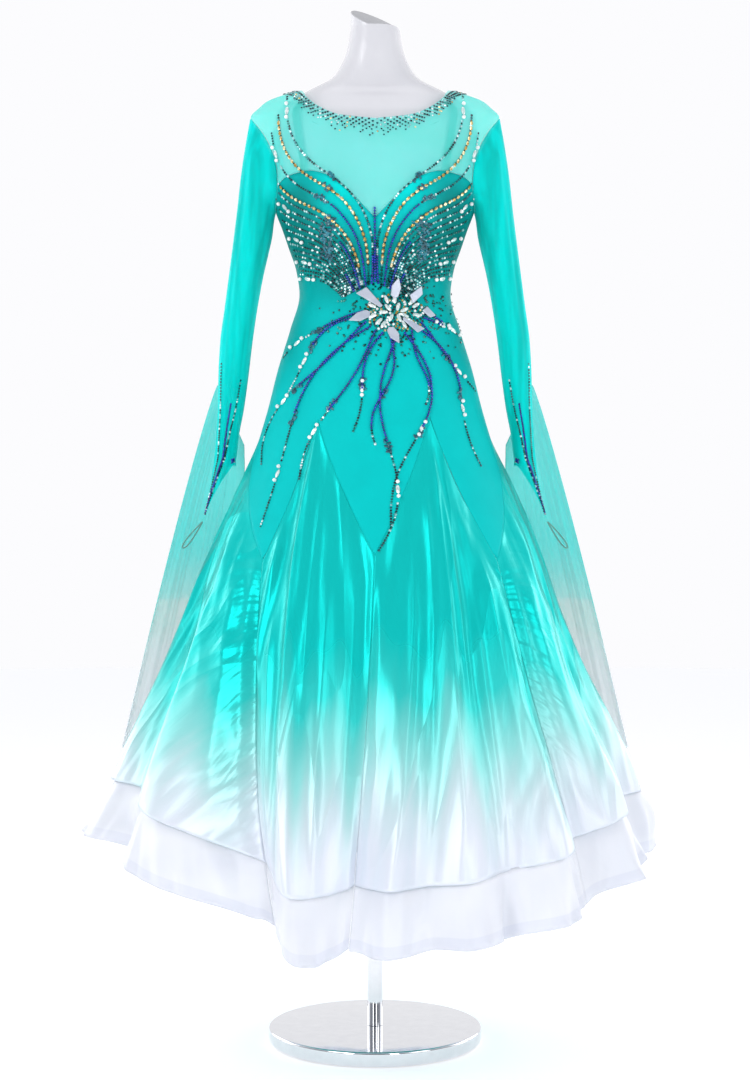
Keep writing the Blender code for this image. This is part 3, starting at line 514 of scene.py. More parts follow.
DRESS = table(
    SECTION,
    (0.200, 0.436, 0.405, 0.450),
    (0.330, 0.411, 0.378, 0.414),
    (0.450, 0.367, 0.333, 0.364),
    (0.556, 0.322, 0.291, 0.315),
    (0.650, 0.287, 0.251, 0.270),
    (0.755, 0.250, 0.207, 0.222),
    (0.855, 0.212, 0.168, 0.178),
    (0.926, 0.187, 0.144, 0.150),
    (0.989, 0.168, 0.128, 0.133),
    (1.052, 0.152, 0.115, 0.117),
    (1.115, 0.1327, 0.099, 0.097),
    (1.1697, 0.1185, 0.088, 0.080),
    (1.209, 0.124, 0.092, 0.082),
    (1.240, 0.1345, 0.098, 0.087),
    (1.272, 0.1455, 0.103, 0.092),
    (1.300, 0.156, 0.106, 0.095),
    (1.340, 0.166, 0.106, 0.097),
    (1.380, 0.177, 0.100, 0.096),
    (1.410, 0.187, 0.090, 0.092),
    (1.4464, 0.1956, 0.077, 0.083),
    (1.4617, 0.1818, 0.070, 0.077),
    (1.4704, 0.1716, 0.066, 0.073),
    (1.4758, 0.1586, 0.064, 0.070),
    (1.4877, 0.116, 0.058, 0.065),
)
ARMPIT = 1.300
SHOULDER_TIP = 1.4464
ARMHOLE_HALF_ANGLE = 30.0
SIDE_TOP = 1.332
SHOULDER_NECK = 1.4877
SEAM_GAP = 0.0004
EDGE_GAP = 0.0005
CLOTH_WALL = 0.0008

# An edge is a list of (share of the way from the centre line to the side or shoulder seam, height).
FRONT_NECKLINE = [
    (0.00, 1.4300), (0.155, 1.4370), (0.275, 1.4530), (0.355, 1.4645), (0.445, 1.4750), (0.600, 1.4820),
    (1.00, SHOULDER_NECK),
]
BACK_NECKLINE = [(0.0, 1.4680), (0.35, 1.4740), (1.0, SHOULDER_NECK)]
SWEETHEART = [
    (0.00, 1.275), (0.20, 1.316), (0.35, 1.338), (0.52, 1.347), (0.78, 1.343), (1.00, SIDE_TOP),
]
BACK_TOP = [(0.0, 1.330), (1.0, SIDE_TOP)]


def edge_height(edge, across):
    share, height = np.array(edge).T
    return through(share, height, np.abs(across))


def smooth(low, high, value):
    """0 below low, 1 above high and an even S between them."""
    t = np.clip((value - low) / (high - low), 0, 1)
    return t * t * (3 - 2 * t)


def side_azimuth(z):
    """The side edge's azimuth: 90 at the side seam, and an ellipse's arc forward round the armhole."""
    middle, half = (SHOULDER_TIP + ARMPIT) / 2, (SHOULDER_TIP - ARMPIT) / 2
    return 90.0 - ARMHOLE_HALF_ANGLE * np.sqrt(1 - np.clip((z - middle) / half, -1, 1) ** 2)


def torso_piece(across, up, low, high, side_from, side_to, back):
    """A front or back piece: columns run up from the low edge to the high one, and azimuth = share of the
    way x the side edge's azimuth at that row."""
    columns, rows = np.meshgrid(across, up)
    z = low * (1 - rows) + high * rows
    side = side_azimuth(side_from * (1 - up) + side_to * up)[:, None]
    gap = np.degrees(SEAM_GAP / 0.16)
    turned_by = np.clip(columns * side, -side + gap, side - gap)
    if back:
        turned_by = (360.0 - turned_by) % 360.0 - 180.0
    return section_point(DRESS, turned_by, z)


def cover(share):
    """The alpha of each of a shell's two faces, when both together hide this share of what is behind."""
    return 1 - (1 - share) ** 0.5


def cloth(name, grid, material, slot, nodes, wall=CLOTH_WALL, wrap=False, flip=False, cut=None, **values):
    """A cloth shell through a grid of outer points, thickened inwards. The cut is the flat place of each
    point in metres, kept as its UV map, and each value is kept at each point for the material."""
    if flip:
        grid = grid[::-1]
        cut = None if cut is None else cut[::-1]
        values = {key: value[::-1] for key, value in values.items()}
    rows, columns = grid.shape[:2]
    piece = mesh_piece(name, grid, grid_quads(rows, columns, wrap), material)
    mesh = piece.data
    if cut is not None:
        corner = np.empty(len(mesh.loops), np.int32)
        mesh.loops.foreach_get("vertex_index", corner)
        layer = mesh.uv_layers.new(name="cut")
        layer.data.foreach_set("uv", cut.reshape(-1, 2)[corner].astype(np.float32).ravel())
    for key, value in values.items():
        mesh.attributes.new(key, "FLOAT", "POINT").data.foreach_set("value", value.astype(np.float32).ravel())
    shell = piece.modifiers.new("wall", "SOLIDIFY")
    shell.thickness = wall
    shell.offset = -1.0
    return ride_on_frame(piece, slot, *nodes)


def flat_place(grid, level=True):
    """Each point's place in the flat cut, in metres: the distance along its row, without the row's rise and
    fall unless level is off, and the distance along its column."""
    row_steps = np.diff(grid, axis=1)[..., :2] if level else np.diff(grid, axis=1)
    across = np.linalg.norm(row_steps, axis=-1).cumsum(axis=1)
    up = np.linalg.norm(np.diff(grid, axis=0), axis=-1).cumsum(axis=0)
    across = np.concatenate([np.zeros((grid.shape[0], 1)), across], axis=1)
    up = np.concatenate([np.zeros((1, grid.shape[1])), up], axis=0)
    return np.stack([across, up], axis=-1)


def cut_of(grid, level=True):
    quads = grid[:-1, :-1], grid[:-1, 1:], grid[1:, 1:], grid[1:, :-1]
    cross = np.cross(quads[2] - quads[0], quads[3] - quads[1])
    area = float(np.linalg.norm(cross, axis=-1).sum() / 2)
    flat = flat_place(grid, level)
    width, length = round(float(flat[:, -1, 0].max()), 3), round(float(flat[-1, :, 1].max()), 3)
    return {"flat": (width, length), "area": round(min(area, width * length), 4)}


# Illusion mesh: knitted nylon with holes about half a millimetre wide, too fine to show one by one, so it
# is drawn as an even veil with a faint grain at 2 mm.
veil, tree, shader = finish("aqua_illusion_mesh")
place = node(tree, "TexCoord").outputs["Object"]
loops = node(tree, "TexVoronoi", Scale=500.0, Vector=place)
cloudy = node(tree, "TexNoise", Scale=14.0, Detail=2.0, Vector=place)
cloth_colour = ramp(tree, cloudy.outputs["Fac"], [(0.3, "#66fff4"), (0.7, "#72fff8")])
knit = node(tree, "Bump", Strength=0.15, Distance=0.0003, Height=loops.outputs["Distance"])
set_shader(tree, shader, Base_Color=cloth_colour, Roughness=0.7, Alpha=cover(0.60), Specular_IOR_Level=0.08)
set_shader(tree, shader, Normal=knit.outputs["Normal"])

across = np.linspace(-1, 1, 121)
up = np.linspace(0, 1, 45)
YOKES = [("yoke_front", SWEETHEART, FRONT_NECKLINE, False), ("yoke_back", BACK_TOP, BACK_NECKLINE, True)]
for name, low_edge, high_edge, back in YOKES:
    low = edge_height(low_edge, across) + EDGE_GAP
    grid = torso_piece(across, up, low, edge_height(high_edge, across), SIDE_TOP, SHOULDER_NECK, back)
    piece = cloth("mesh_" + name, grid, veil, "illusion_mesh", [name], wall=0.0004, flip=back)
    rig.sheet(piece, **cut_of(grid), held="stretched", rests_on=["fibreglass_form"])

# ---------------------------------------------------------------- shoulder straps
# Narrow covered elastic that carries the cups, tacked to their top edge and to the neckline. The mesh
# veils it, so it shows as a soft grey-green band.

(STRAP,) = table("cup_azimuth cup_height neck_azimuth neck_height width", (38.5, 1.340, 36.5, 1.4600, 0.011))
STRAP_DEPTH = 0.0040

elastic, tree, shader = finish("grey_green_covered_elastic")
place = node(tree, "TexCoord").outputs["Object"]
ribs = node(tree, "TexWave", {"bands_direction": "Z"}, Scale=160.0, Distortion=0.5, Vector=place)
shade = ramp(tree, ribs.outputs["Fac"], [(0.2, "#5f8f86"), (0.8, "#6f9f95")])
set_shader(tree, shader, Base_Color=shade, Roughness=0.7, Specular_IOR_Level=0.2)

for word, side in (("left", 1), ("right", -1)):
    along = np.linspace(0, 1, 40)
    turn = STRAP.cup_azimuth + (STRAP.neck_azimuth - STRAP.cup_azimuth) * along
    z = STRAP.cup_height + (STRAP.neck_height - STRAP.cup_height) * along
    middle = section_point(DRESS, side * turn, z, out=-STRAP_DEPTH)
    beside = section_point(DRESS, side * (turn + 3.0), z, out=-STRAP_DEPTH)
    step = (beside - middle) / np.linalg.norm(beside - middle, axis=1)[:, None] * side
    grid = middle[:, None] + np.linspace(-0.5, 0.5, 7)[None, :, None] * STRAP.width * step[:, None]
    piece = cloth("elastic_strap_" + word, grid, elastic, "elastic", ["strap_" + word])
    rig.sheet(piece, **cut_of(grid), held="stretched", rests_on=["fibreglass_form"])

# ---------------------------------------------------------------- bodice of stretch jersey
# Front and back in one piece each from the sweetheart or straight top down over the hips, ending in a
# zigzag whose long points reach down between the skirt's panels. Matt jersey with a slight bloom, dyed
# teal, with painted shade under and beside the cups and at the waist's sides, and a painted highlight
# on the upper cups.

Seam = namedtuple("Seam", "tip_azimuth tip_height hem_azimuth hem_height")
SEAMS = {
    "right_back": Seam(-128.0, 0.760, -128.0, 0.290),
    "right_front": Seam(-42.0, 0.755, -20.0, 0.246),
    "front": Seam(0.0, 0.763, -5.0, 0.220),
    "left_front": Seam(47.0, 0.755, 48.0, 0.266),
    "left_back": Seam(128.0, 0.760, 125.0, 0.275),
    "back": Seam(180.0, 0.763, 180.0, 0.235),
    "back_again": Seam(-180.0, 0.763, -180.0, 0.235),
}
Panel = namedtuple("Panel", "first second peak_azimuth peak_height hem_middle")
PANELS = {
    "side_right": Panel("right_back", "right_front", -90.0, 0.955, 0.325),
    "front_right": Panel("right_front", "front", -28.0, 0.971, 0.212),
    "front_left": Panel("front", "left_front", 26.0, 0.973, 0.230),
    "side_left": Panel("left_front", "left_back", 90.0, 0.955, 0.312),
    "back_left": Panel("left_back", "back", 152.0, 0.968, 0.245),
    "back_right": Panel("back_again", "right_back", -152.0, 0.968, 0.245),
}


def point_height(azimuth):
    """The zigzag's height at an azimuth: straight from each point up to the peak and down to the next."""
    turns = [(seam.tip_azimuth, seam.tip_height) for seam in SEAMS.values()]
    turns += [(panel.peak_azimuth, panel.peak_height) for panel in PANELS.values()]
    knots = np.array(sorted(set(turns)))
    return np.interp(azimuth, knots[:, 0], knots[:, 1])


# Painted shade (amount above 0) and painted highlight (below 0) on the jersey's even dye: a bell at each
# place, the same on both sides. Those above the waist are on the front only.
WAIST = 1.13
EVEN_TONE = 0.32
SHADE_AND_HIGHLIGHT_BELLS = table(
    "x z half_width half_height amount",
    (0.122, 1.275, 0.042, 0.070, 0.50),
    (0.072, 1.232, 0.052, 0.030, 0.34),
    (0.000, 1.225, 0.045, 0.040, 0.16),
    (0.045, 1.330, 0.040, 0.030, -0.34),
    (0.055, 1.180, 0.052, 0.040, 0.26),
    (0.135, 1.120, 0.034, 0.090, 0.22),
)


def dye_with_painted_shade(points):
    """0 brightest, 1 deepest: the dye's even level plus the bells of painted shade and highlight."""
    total = np.full(points.shape[:2], EVEN_TONE)
    for bell in SHADE_AND_HIGHLIGHT_BELLS:
        dx = (np.abs(points[..., 0]) - bell.x) / bell.half_width
        dz = (points[..., 2] - bell.z) / bell.half_height
        in_front = 1.0 if bell.z < WAIST else smooth(-0.02, 0.02, -points[..., 1])
        total = total + bell.amount * in_front * np.exp(-(dx**2) - dz**2)
    return np.clip(total, 0, 1)


# Jersey: fine loops of matt nylon, drawn as 1.5 mm ribs, with a soft bloom at grazing angles.
jersey, tree, shader = finish("teal_stretch_jersey")
place = node(tree, "TexCoord").outputs["Object"]
# The point values: the dye's even level plus painted shade and a painted highlight on the upper cups.
painted = node(tree, "Attribute", {"attribute_name": "tone"}).outputs["Fac"]
blotches = node(tree, "TexNoise", Scale=24.0, Detail=3.0, Vector=place).outputs["Fac"]
cloudy = node(tree, "Math", {"operation": "MULTIPLY_ADD"}, _0=blotches, _1=0.10, _2=painted)
loops = node(tree, "TexVoronoi", Scale=620.0, Vector=place)
knit = node(tree, "Bump", Strength=0.25, Distance=0.0003, Height=loops.outputs["Distance"])
jersey_stops = [(0.05, "#00eae4"), (0.38, "#00c2c0"), (0.72, "#008e8b"), (1.0, "#00706c")]
cloth_colour = ramp(tree, cloudy.outputs[0], jersey_stops)
set_shader(tree, shader, Base_Color=cloth_colour, Roughness=0.62, Specular_IOR_Level=0.08)
set_shader(tree, shader, Normal=knit.outputs["Normal"])
set_shader(tree, shader, Sheen_Weight=0.05, Sheen_Roughness=0.4, Sheen_Tint=linear("#7ff5ec"))

across = np.linspace(-1, 1, 145)
up = np.linspace(0, 1, 91)
for name, high_edge, back in (("bodice_front", SWEETHEART, False), ("bodice_back", BACK_TOP, True)):
    azimuth = (360.0 - across * 90.0) % 360.0 - 180.0 if back else across * 90.0
    low = point_height(azimuth) + EDGE_GAP
    grid = torso_piece(across, up, low, edge_height(high_edge, across), low[-1], SIDE_TOP, back)
    piece = cloth(
        "jersey_" + name, grid, jersey, "stretch_jersey", [name],
        flip=back, cut=flat_place(grid), tone=dye_with_painted_shade(grid),
    )
    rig.sheet(piece, **cut_of(grid), held="stretched", rests_on=["fibreglass_form"])

# ---------------------------------------------------------------- concealed zip
# The centre back seam holds a concealed zip, shut: two rolled lips of jersey that meet over the teeth,
# with its pull tucked inside the top edge.

zip_low, zip_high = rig.box("back_zip")
LIP_WIDTH = 0.0026
LIP_LIFT = 0.0012
LIP_ROUND = 0.0014
z = np.linspace(zip_low.z, zip_high.z, 160)[:, None]
lips = np.linspace(-1, 1, 15)
stand = LIP_LIFT + LIP_ROUND * np.sqrt(np.clip(1 - (np.abs(lips) * 2 - 1) ** 2, 0, 1))
back_line = section_point(DRESS, np.full(z.shape, 180.0), z)[..., 1]
grid = np.stack(np.broadcast_arrays(-lips * LIP_WIDTH, back_line + stand, z), axis=-1)
tone = np.full(grid.shape[:2], 0.36)
cloth("zip_welt", grid, jersey, "stretch_jersey", ["back_zip"], wall=0.0005, tone=tone)

# ---------------------------------------------------------------- satin skirt panels
# Six gores of liquid satin let in between the bodice's points and gathered a little along their seams.
# Each hangs in pipes that deepen towards the hem, crossed by long sharp creases, and is dipped so that the
# teal fades to white.

BAND_HEIGHT = 0.086
BAND_FLARE = 0.012
FOLD_GROWTH = 1.3
# The pipes along each panel's hem: the share of the way across, and how far the cloth is pushed out or in.
FOLDS = {
    "side_right": [
        (0.00, -0.026), (0.15, 0.030), (0.28, -0.024), (0.40, 0.028), (0.54, -0.026), (0.74, 0.028),
        (1.00, -0.034),
    ],
    "front_right": [
        (0.00, -0.034), (0.50, 0.040), (1.00, -0.028),
    ],
    "front_left": [
        (0.00, -0.028), (0.14, 0.018), (0.28, -0.010), (0.42, 0.018), (0.60, -0.012), (0.80, 0.020),
        (1.00, -0.026),
    ],
    "side_left": [
        (0.00, -0.026), (0.18, 0.022), (0.32, -0.018), (0.48, 0.030), (0.66, -0.024), (0.83, 0.030),
        (1.00, -0.026),
    ],
    "back_left": [
        (0.00, -0.026), (0.26, 0.032), (0.50, -0.024), (0.75, 0.034), (1.00, -0.028),
    ],
    "back_right": [
        (0.00, -0.028), (0.27, 0.034), (0.52, -0.024), (0.76, 0.032), (1.00, -0.026),
    ],
}

# Long creases pressed into the satin: the share of the way across at the top and at the hem, where along
# the drop it starts and ends, its depth in millimetres and its half width as a share of the panel.
Crease = namedtuple("Crease", "top hem start end depth half_width")
CREASES = {
    "front_right": [
        (0.46, 0.30, 0.02, 0.70, 6.0, 0.045), (0.62, 0.52, 0.05, 0.60, 4.0, 0.030),
        (0.22, 0.16, 0.25, 0.92, 7.0, 0.070), (0.30, 0.42, 0.45, 1.00, 5.0, 0.050),
        (0.74, 0.66, 0.20, 0.95, 4.0, 0.030), (0.90, 0.86, 0.10, 0.85, -5.0, 0.050),
    ],
    "front_left": [
        (0.30, 0.10, 0.15, 0.95, 5.0, 0.022), (0.42, 0.22, 0.05, 0.75, 6.0, 0.035),
        (0.52, 0.36, 0.05, 0.90, 5.0, 0.026), (0.56, 0.50, 0.10, 0.62, 7.0, 0.040),
        (0.70, 0.58, 0.30, 1.00, 5.0, 0.026), (0.80, 0.72, 0.12, 0.70, 5.0, 0.032),
        (0.90, 0.90, 0.30, 0.95, 6.0, 0.040), (0.20, 0.05, 0.50, 1.00, -4.0, 0.030),
    ],
    "side_right": [
        (0.90, 0.88, 0.10, 0.80, 6.0, 0.040), (0.78, 0.66, 0.25, 0.95, 6.0, 0.040),
        (0.64, 0.58, 0.05, 0.70, 5.0, 0.030), (0.46, 0.45, 0.10, 0.90, 5.0, 0.030),
        (0.34, 0.24, 0.20, 0.95, 6.0, 0.035),
    ],
    "side_left": [
        (0.10, 0.10, 0.10, 0.80, 6.0, 0.040), (0.22, 0.28, 0.20, 0.95, 6.0, 0.036),
        (0.34, 0.40, 0.05, 0.80, 5.0, 0.030), (0.52, 0.56, 0.10, 0.90, 5.0, 0.030),
        (0.70, 0.76, 0.20, 0.95, 6.0, 0.035),
    ],
    "back_left": [
        (0.36, 0.30, 0.08, 0.85, 6.0, 0.040), (0.58, 0.62, 0.15, 0.95, 5.0, 0.032),
        (0.80, 0.86, 0.25, 0.90, 6.0, 0.040),
    ],
    "back_right": [
        (0.26, 0.18, 0.25, 0.90, 6.0, 0.040), (0.46, 0.40, 0.10, 0.95, 5.0, 0.032),
        (0.68, 0.74, 0.08, 0.85, 6.0, 0.040),
    ],
}

# Seams that the satin is gathered along: the panel, which of its edges, where along the drop the gathers
# start and end, their reach into the panel in metres, how far down they slant for each metre away from the
# seam, and their strength.
GATHERS = table(
    "panel at_first start end reach slant strength",
    ("side_right", False, 0.00, 0.85, 0.036, 2.4, 0.8),
    ("side_left", True, 0.00, 0.70, 0.040, 2.4, 0.8),
    ("front_left", False, 0.00, 0.35, 0.024, 1.8, 0.5),
    ("front_right", True, 0.00, 0.40, 0.022, 1.8, 0.5),
    ("back_left", False, 0.00, 0.45, 0.030, 1.4, 0.7),
    ("back_right", True, 0.00, 0.45, 0.030, 1.4, 0.7),
)

SEAM_LENGTH = 0.62
PANEL_GAP = 0.00016
# The power that makes a crease's ridge pointed, how far the fine folds lean and wander, as shares of the
# panel, and the level and rounding of their crests.
CREASE_POINT = 1.4
LEAN = 0.09
WANDER = 0.02
CREST_LEVEL = 0.62
CREST_ROUND = 0.012

# Heights at which each panel's dye begins to fade and is gone.
Dip = namedtuple("Dip", "starts ends")
DIPS = {
    "side_right": Dip(0.650, 0.360),
    "front_right": Dip(0.635, 0.335),
    "front_left": Dip(0.650, 0.345),
    "side_left": Dip(0.660, 0.370),
    "back_left": Dip(0.650, 0.370),
    "back_right": Dip(0.650, 0.370),
}

# Sizes of fold: cells to a metre across, cells down the panel and the crest's height in metres.
OCTAVES = table("per_metre tall height", (8, 2, 0.0150), (15, 2, 0.0085), (30, 4, 0.0026))


def fold_push(name, across):
    """How far the pipes stand out at the hem: half a cosine from each crest or trough to the next."""
    knots, push = np.array(FOLDS[name]).T
    k = np.clip(np.searchsorted(knots, across) - 1, 0, len(knots) - 2)
    share = np.clip((across - knots[k]) / (knots[k + 1] - knots[k]), 0, 1)
    return push[k] + (push[k + 1] - push[k]) * (1 - np.cos(np.pi * share)) / 2


def panel_ends(name, across):
    """Azimuth and height of a panel's top edge (the zigzag) and of its hem (a parabola in height)."""
    panel = PANELS[name]
    first, second = SEAMS[panel.first], SEAMS[panel.second]
    stops = [0.0, 0.5, 1.0]
    top_azimuth = np.interp(across, stops, [first.tip_azimuth, panel.peak_azimuth, second.tip_azimuth])
    top_height = np.interp(across, stops, [first.tip_height, panel.peak_height, second.tip_height])
    hem_azimuth = first.hem_azimuth + (second.hem_azimuth - first.hem_azimuth) * across
    hem_height = (
        first.hem_height * (1 - across) * (1 - 2 * across)
        + 4 * panel.hem_middle * across * (1 - across)
        + second.hem_height * across * (2 * across - 1)
    )
    return top_azimuth, top_height, hem_azimuth, hem_height


def band_drop(name, across):
    """The share of the drop at which the satin ends and the hem band begins."""
    _, top_height, _, hem_height = panel_ends(name, across)
    return 1 - BAND_HEIGHT / (top_height - hem_height)


def panel_point(name, across, drop, extra=0.0):
    """A point of a panel: its column goes straight in azimuth and height from the zigzag to the hem, on
    the dress's sections, and stands out by its pipe's push x drop to the growth power, plus any extra."""
    top_azimuth, top_height, hem_azimuth, hem_height = panel_ends(name, across)
    azimuth = top_azimuth + (hem_azimuth - top_azimuth) * drop
    z = top_height + (hem_height - top_height) * drop
    point = section_point(DRESS, azimuth, z)
    band = band_drop(name, across)
    push = fold_push(name, across) * np.clip(drop, 0, 1) ** FOLD_GROWTH
    push = push + BAND_FLARE * np.clip((drop - band) / (1 - band), 0, 1) + extra
    outward = point[..., :2] / np.linalg.norm(point[..., :2], axis=-1)[..., None]
    point[..., :2] += outward * push[..., None]
    return point


def drift(rng, across, drop, wide, tall):
    """Smooth noise: random values at the corners of wide x tall cells, with an even S between them."""
    corner = rng.uniform(-1, 1, (tall + 2, wide + 2))
    u, v = np.clip(across, 0, 1) * wide, np.clip(drop, 0, 1) * tall
    i, j = u.astype(int), v.astype(int)
    fu, fv = smooth(0, 1, u - i), smooth(0, 1, v - j)
    low = corner[j, i] * (1 - fu) + corner[j, i + 1] * fu
    high = corner[j + 1, i] * (1 - fu) + corner[j + 1, i + 1] * fu
    return low * (1 - fv) + high * fv


def lasting(start, end, drop, fade_in):
    """1 between a start and an end down the drop, with a short fade in and a longer fade out."""
    return smooth(start, start + fade_in, drop) * (1 - smooth(end - 0.25, end, drop))


def satin_relief(name, across, drop, width):
    """What lies on the pipes: each crease is a pointed ridge along its line, and over them lie folds whose
    crests follow the zero lines of tall smooth noise, so that they lean, branch and die out."""
    across, drop = np.broadcast_arrays(across, drop)
    total = np.zeros(across.shape)
    for row in CREASES[name]:
        crease = Crease(*row)
        line = crease.top + (crease.hem - crease.top) * drop
        off = np.abs((across - line) / crease.half_width)
        length = lasting(crease.start, crease.end, drop, 0.12)
        total = total + crease.depth / 1000 * np.exp(-(off**CREASE_POINT)) * length
    rng = np.random.default_rng(sum(map(ord, name)))
    bent = across + LEAN * drift(rng, across, drop, 2, 2) + WANDER * drift(rng, across, drop, 7, 5)
    for octave in OCTAVES:
        value = drift(rng, bent, drop, max(3, round(width * octave.per_metre)), octave.tall)
        crest = CREST_LEVEL - np.sqrt(value**2 + CREST_ROUND)
        total = total + octave.height * crest * smooth(0.0, 0.14, drop)
    return total * smooth(0.0, 0.05, across) * smooth(0.0, 0.05, 1 - across)


def gathers(name, across, drop):
    """How strongly the cloth is gathered at each point, and where the point lies among the small slanting
    wrinkles: metres along the seam less the slant, and metres away from it. The finish draws the wrinkles."""
    across, drop = np.broadcast_arrays(across, drop)
    strength, along, off = 0 * across, 0 * across, 0 * across
    for gather in GATHERS:
        if gather.panel == name:
            off = (across if gather.at_first else 1 - across) * (0.12 + 0.5 * drop)
            along = drop * SEAM_LENGTH - gather.slant * off
            reach = gather.reach * (1 + 0.35 * np.sin(drop * 43) + 0.25 * np.sin(drop * 19 + 1))
            length = lasting(gather.start, gather.end, drop, 0.06)
            strength = gather.strength * np.exp(-((off / reach) ** 2)) * length
    return {"gathered": strength, "along": along, "off": off}


def keep_seam_gap(grid):
    """The first and last columns moved in by half the fine gap that neighbours keep at a seam."""
    for edge, inner in ((0, 1), (-1, -2)):
        step = grid[:, inner] - grid[:, edge]
        grid[:, edge] += step * (PANEL_GAP / np.linalg.norm(step, axis=1))[:, None]
    return grid


# Liquid satin: long polyester floats lie side by side, so it shines like poured metal with the dye's own
# colour in its highlights. Threads at 0.4 mm are drawn as faint 2 mm lines down the panel. Over them lie
# soft dents, crisp folds along the zero lines of tall noise, and the wrinkles at the gathered seams.
satin, tree, shader = finish("teal_to_white_liquid_satin")
place = node(tree, "TexCoord").outputs["UV"]
soft = node(tree, "Mapping", Vector=place, Scale=(55.0, 6.0, 1.0))
clouds = node(tree, "TexNoise", Scale=1.0, Detail=3.0, Vector=soft.outputs["Vector"]).outputs["Fac"]
fade = node(tree, "Attribute", {"attribute_name": "fade"}).outputs["Fac"]
cloudy = node(tree, "Math", {"operation": "MULTIPLY_ADD"}, _0=clouds, _1=0.12, _2=fade)
fade_stops = [(0.08, "#14cfc9"), (0.30, "#38d2cc"), (0.55, "#93dedb"), (0.78, "#d0e3e9"), (1.0, "#e4e7f2")]
cloth_colour = ramp(tree, cloudy.outputs[0], fade_stops)
fine = node(tree, "Mapping", Vector=place, Scale=(500.0, 14.0, 1.0))
threads = node(tree, "TexNoise", Scale=1.0, Detail=2.0, Vector=fine.outputs["Vector"]).outputs["Fac"]
woven = node(tree, "Bump", Strength=0.10, Distance=0.0008, Height=threads).outputs["Normal"]
liquid = node(tree, "Bump", Strength=0.22, Distance=0.0040, Height=clouds, Normal=woven).outputs["Normal"]
tall = node(tree, "Mapping", Vector=place, Scale=(9.0, 1.7, 1.0)).outputs["Vector"]
cells = node(tree, "TexNoise", Scale=1.0, Detail=1.6, Roughness=0.5, Distortion=0.6, Vector=tall)
centred = node(tree, "Math", {"operation": "SUBTRACT"}, _0=cells.outputs["Fac"], _1=0.5)
fold = node(tree, "Math", {"operation": "ABSOLUTE"}, _0=centred.outputs[0]).outputs[0]
crisp = node(tree, "Bump", {"invert": True}, Strength=0.50, Distance=0.0700, Height=fold, Normal=liquid)
along, off, pull = [
    node(tree, "Attribute", {"attribute_name": name}).outputs["Fac"] for name in ("along", "off", "gathered")
]
seam_place = node(tree, "CombineXYZ", X=along, Y=off)
slanted = node(tree, "Mapping", Vector=seam_place.outputs[0], Scale=(72.0, 12.0, 1.0))
wrinkles = node(tree, "TexNoise", Scale=1.0, Detail=1.0, Vector=slanted.outputs["Vector"])
pressed = node(tree, "Math", {"operation": "MULTIPLY"}, _0=wrinkles.outputs["Fac"], _1=pull).outputs[0]
gathered = node(tree, "Bump", Strength=0.8, Distance=0.0045, Height=pressed, Normal=crisp.outputs["Normal"])
metal = node(tree, "MapRange", Value=fade, To_Min=0.34, To_Max=0.10).outputs["Result"]
rough = node(tree, "MapRange", Value=fade, To_Min=0.27, To_Max=0.36).outputs["Result"]
set_shader(tree, shader, Base_Color=cloth_colour, Metallic=metal, Roughness=rough)
set_shader(tree, shader, Normal=gathered.outputs["Normal"])
set_shader(tree, shader, Specular_IOR_Level=0.7, Specular_Tint=cloth_colour, Sheen_Weight=0.10, Sheen_Roughness=0.3)

# The satin is tucked under the bodice's turned edge, and the hem band under the satin's.
TUCK_SHARE = 0.012
TUCK_DEPTH = 0.0013
TUCK_RISE = 0.0022
COLUMNS = {"front": 133, "side_": 161, "back_": 113}


def width_at(name, across, drop):
    """A panel's width along the line at this share of its drop."""
    line = panel_point(name, across, drop)
    return float(np.linalg.norm(np.diff(line[:, :2], axis=0), axis=1).sum())


for name in PANELS:
    across = np.linspace(0, 1, COLUMNS[name[:5]])
    down = np.linspace(0, 1, 105)[:, None]
    drop = down * band_drop(name, across)
    extra = satin_relief(name, across, drop, width_at(name, across, band_drop(name, across)))
    tucked = 1 - smooth(0.0, TUCK_SHARE, down)
    grid = keep_seam_gap(panel_point(name, across + 0 * drop, drop, extra - TUCK_DEPTH * tucked))
    grid[..., 2] += TUCK_RISE * tucked
    dip = DIPS[name]
    uneven = 0.020 * np.sin(9 * across * 2.1) + 0.014 * np.sin(31 * across + 1.0)
    fade = np.clip((dip.starts - grid[..., 2] + uneven) / (dip.starts - dip.ends), 0, 1)
    piece = cloth(
        "satin_" + name, grid[::-1], satin, "liquid_satin", ["skirt_" + name],
        cut=flat_place(grid)[::-1], fade=0.9 * fade[::-1],
        **{key: value[::-1] for key, value in gathers(name, across, drop).items()},
    )
    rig.sheet(piece, **cut_of(grid), held="gathered", rests_on=["jersey_bodice_front", "jersey_bodice_back"])

# ---------------------------------------------------------------- organza hem bands
# A deep band of white organza under each gore, doubled over horsehair braid so that the hem stands out in
# crisp waves. It is a little see-through, and a little greyer where the braid lies along its lower edge.


def soak(tree, shader, weight):
    """Light that soaks into thin cloth and comes out near by: it glows where it is lit from behind."""
    set_shader(tree, shader, Subsurface_Weight=weight, Subsurface_Scale=0.02)
    set_shader(tree, shader, Subsurface_Radius=(1.0, 1.0, 1.0))


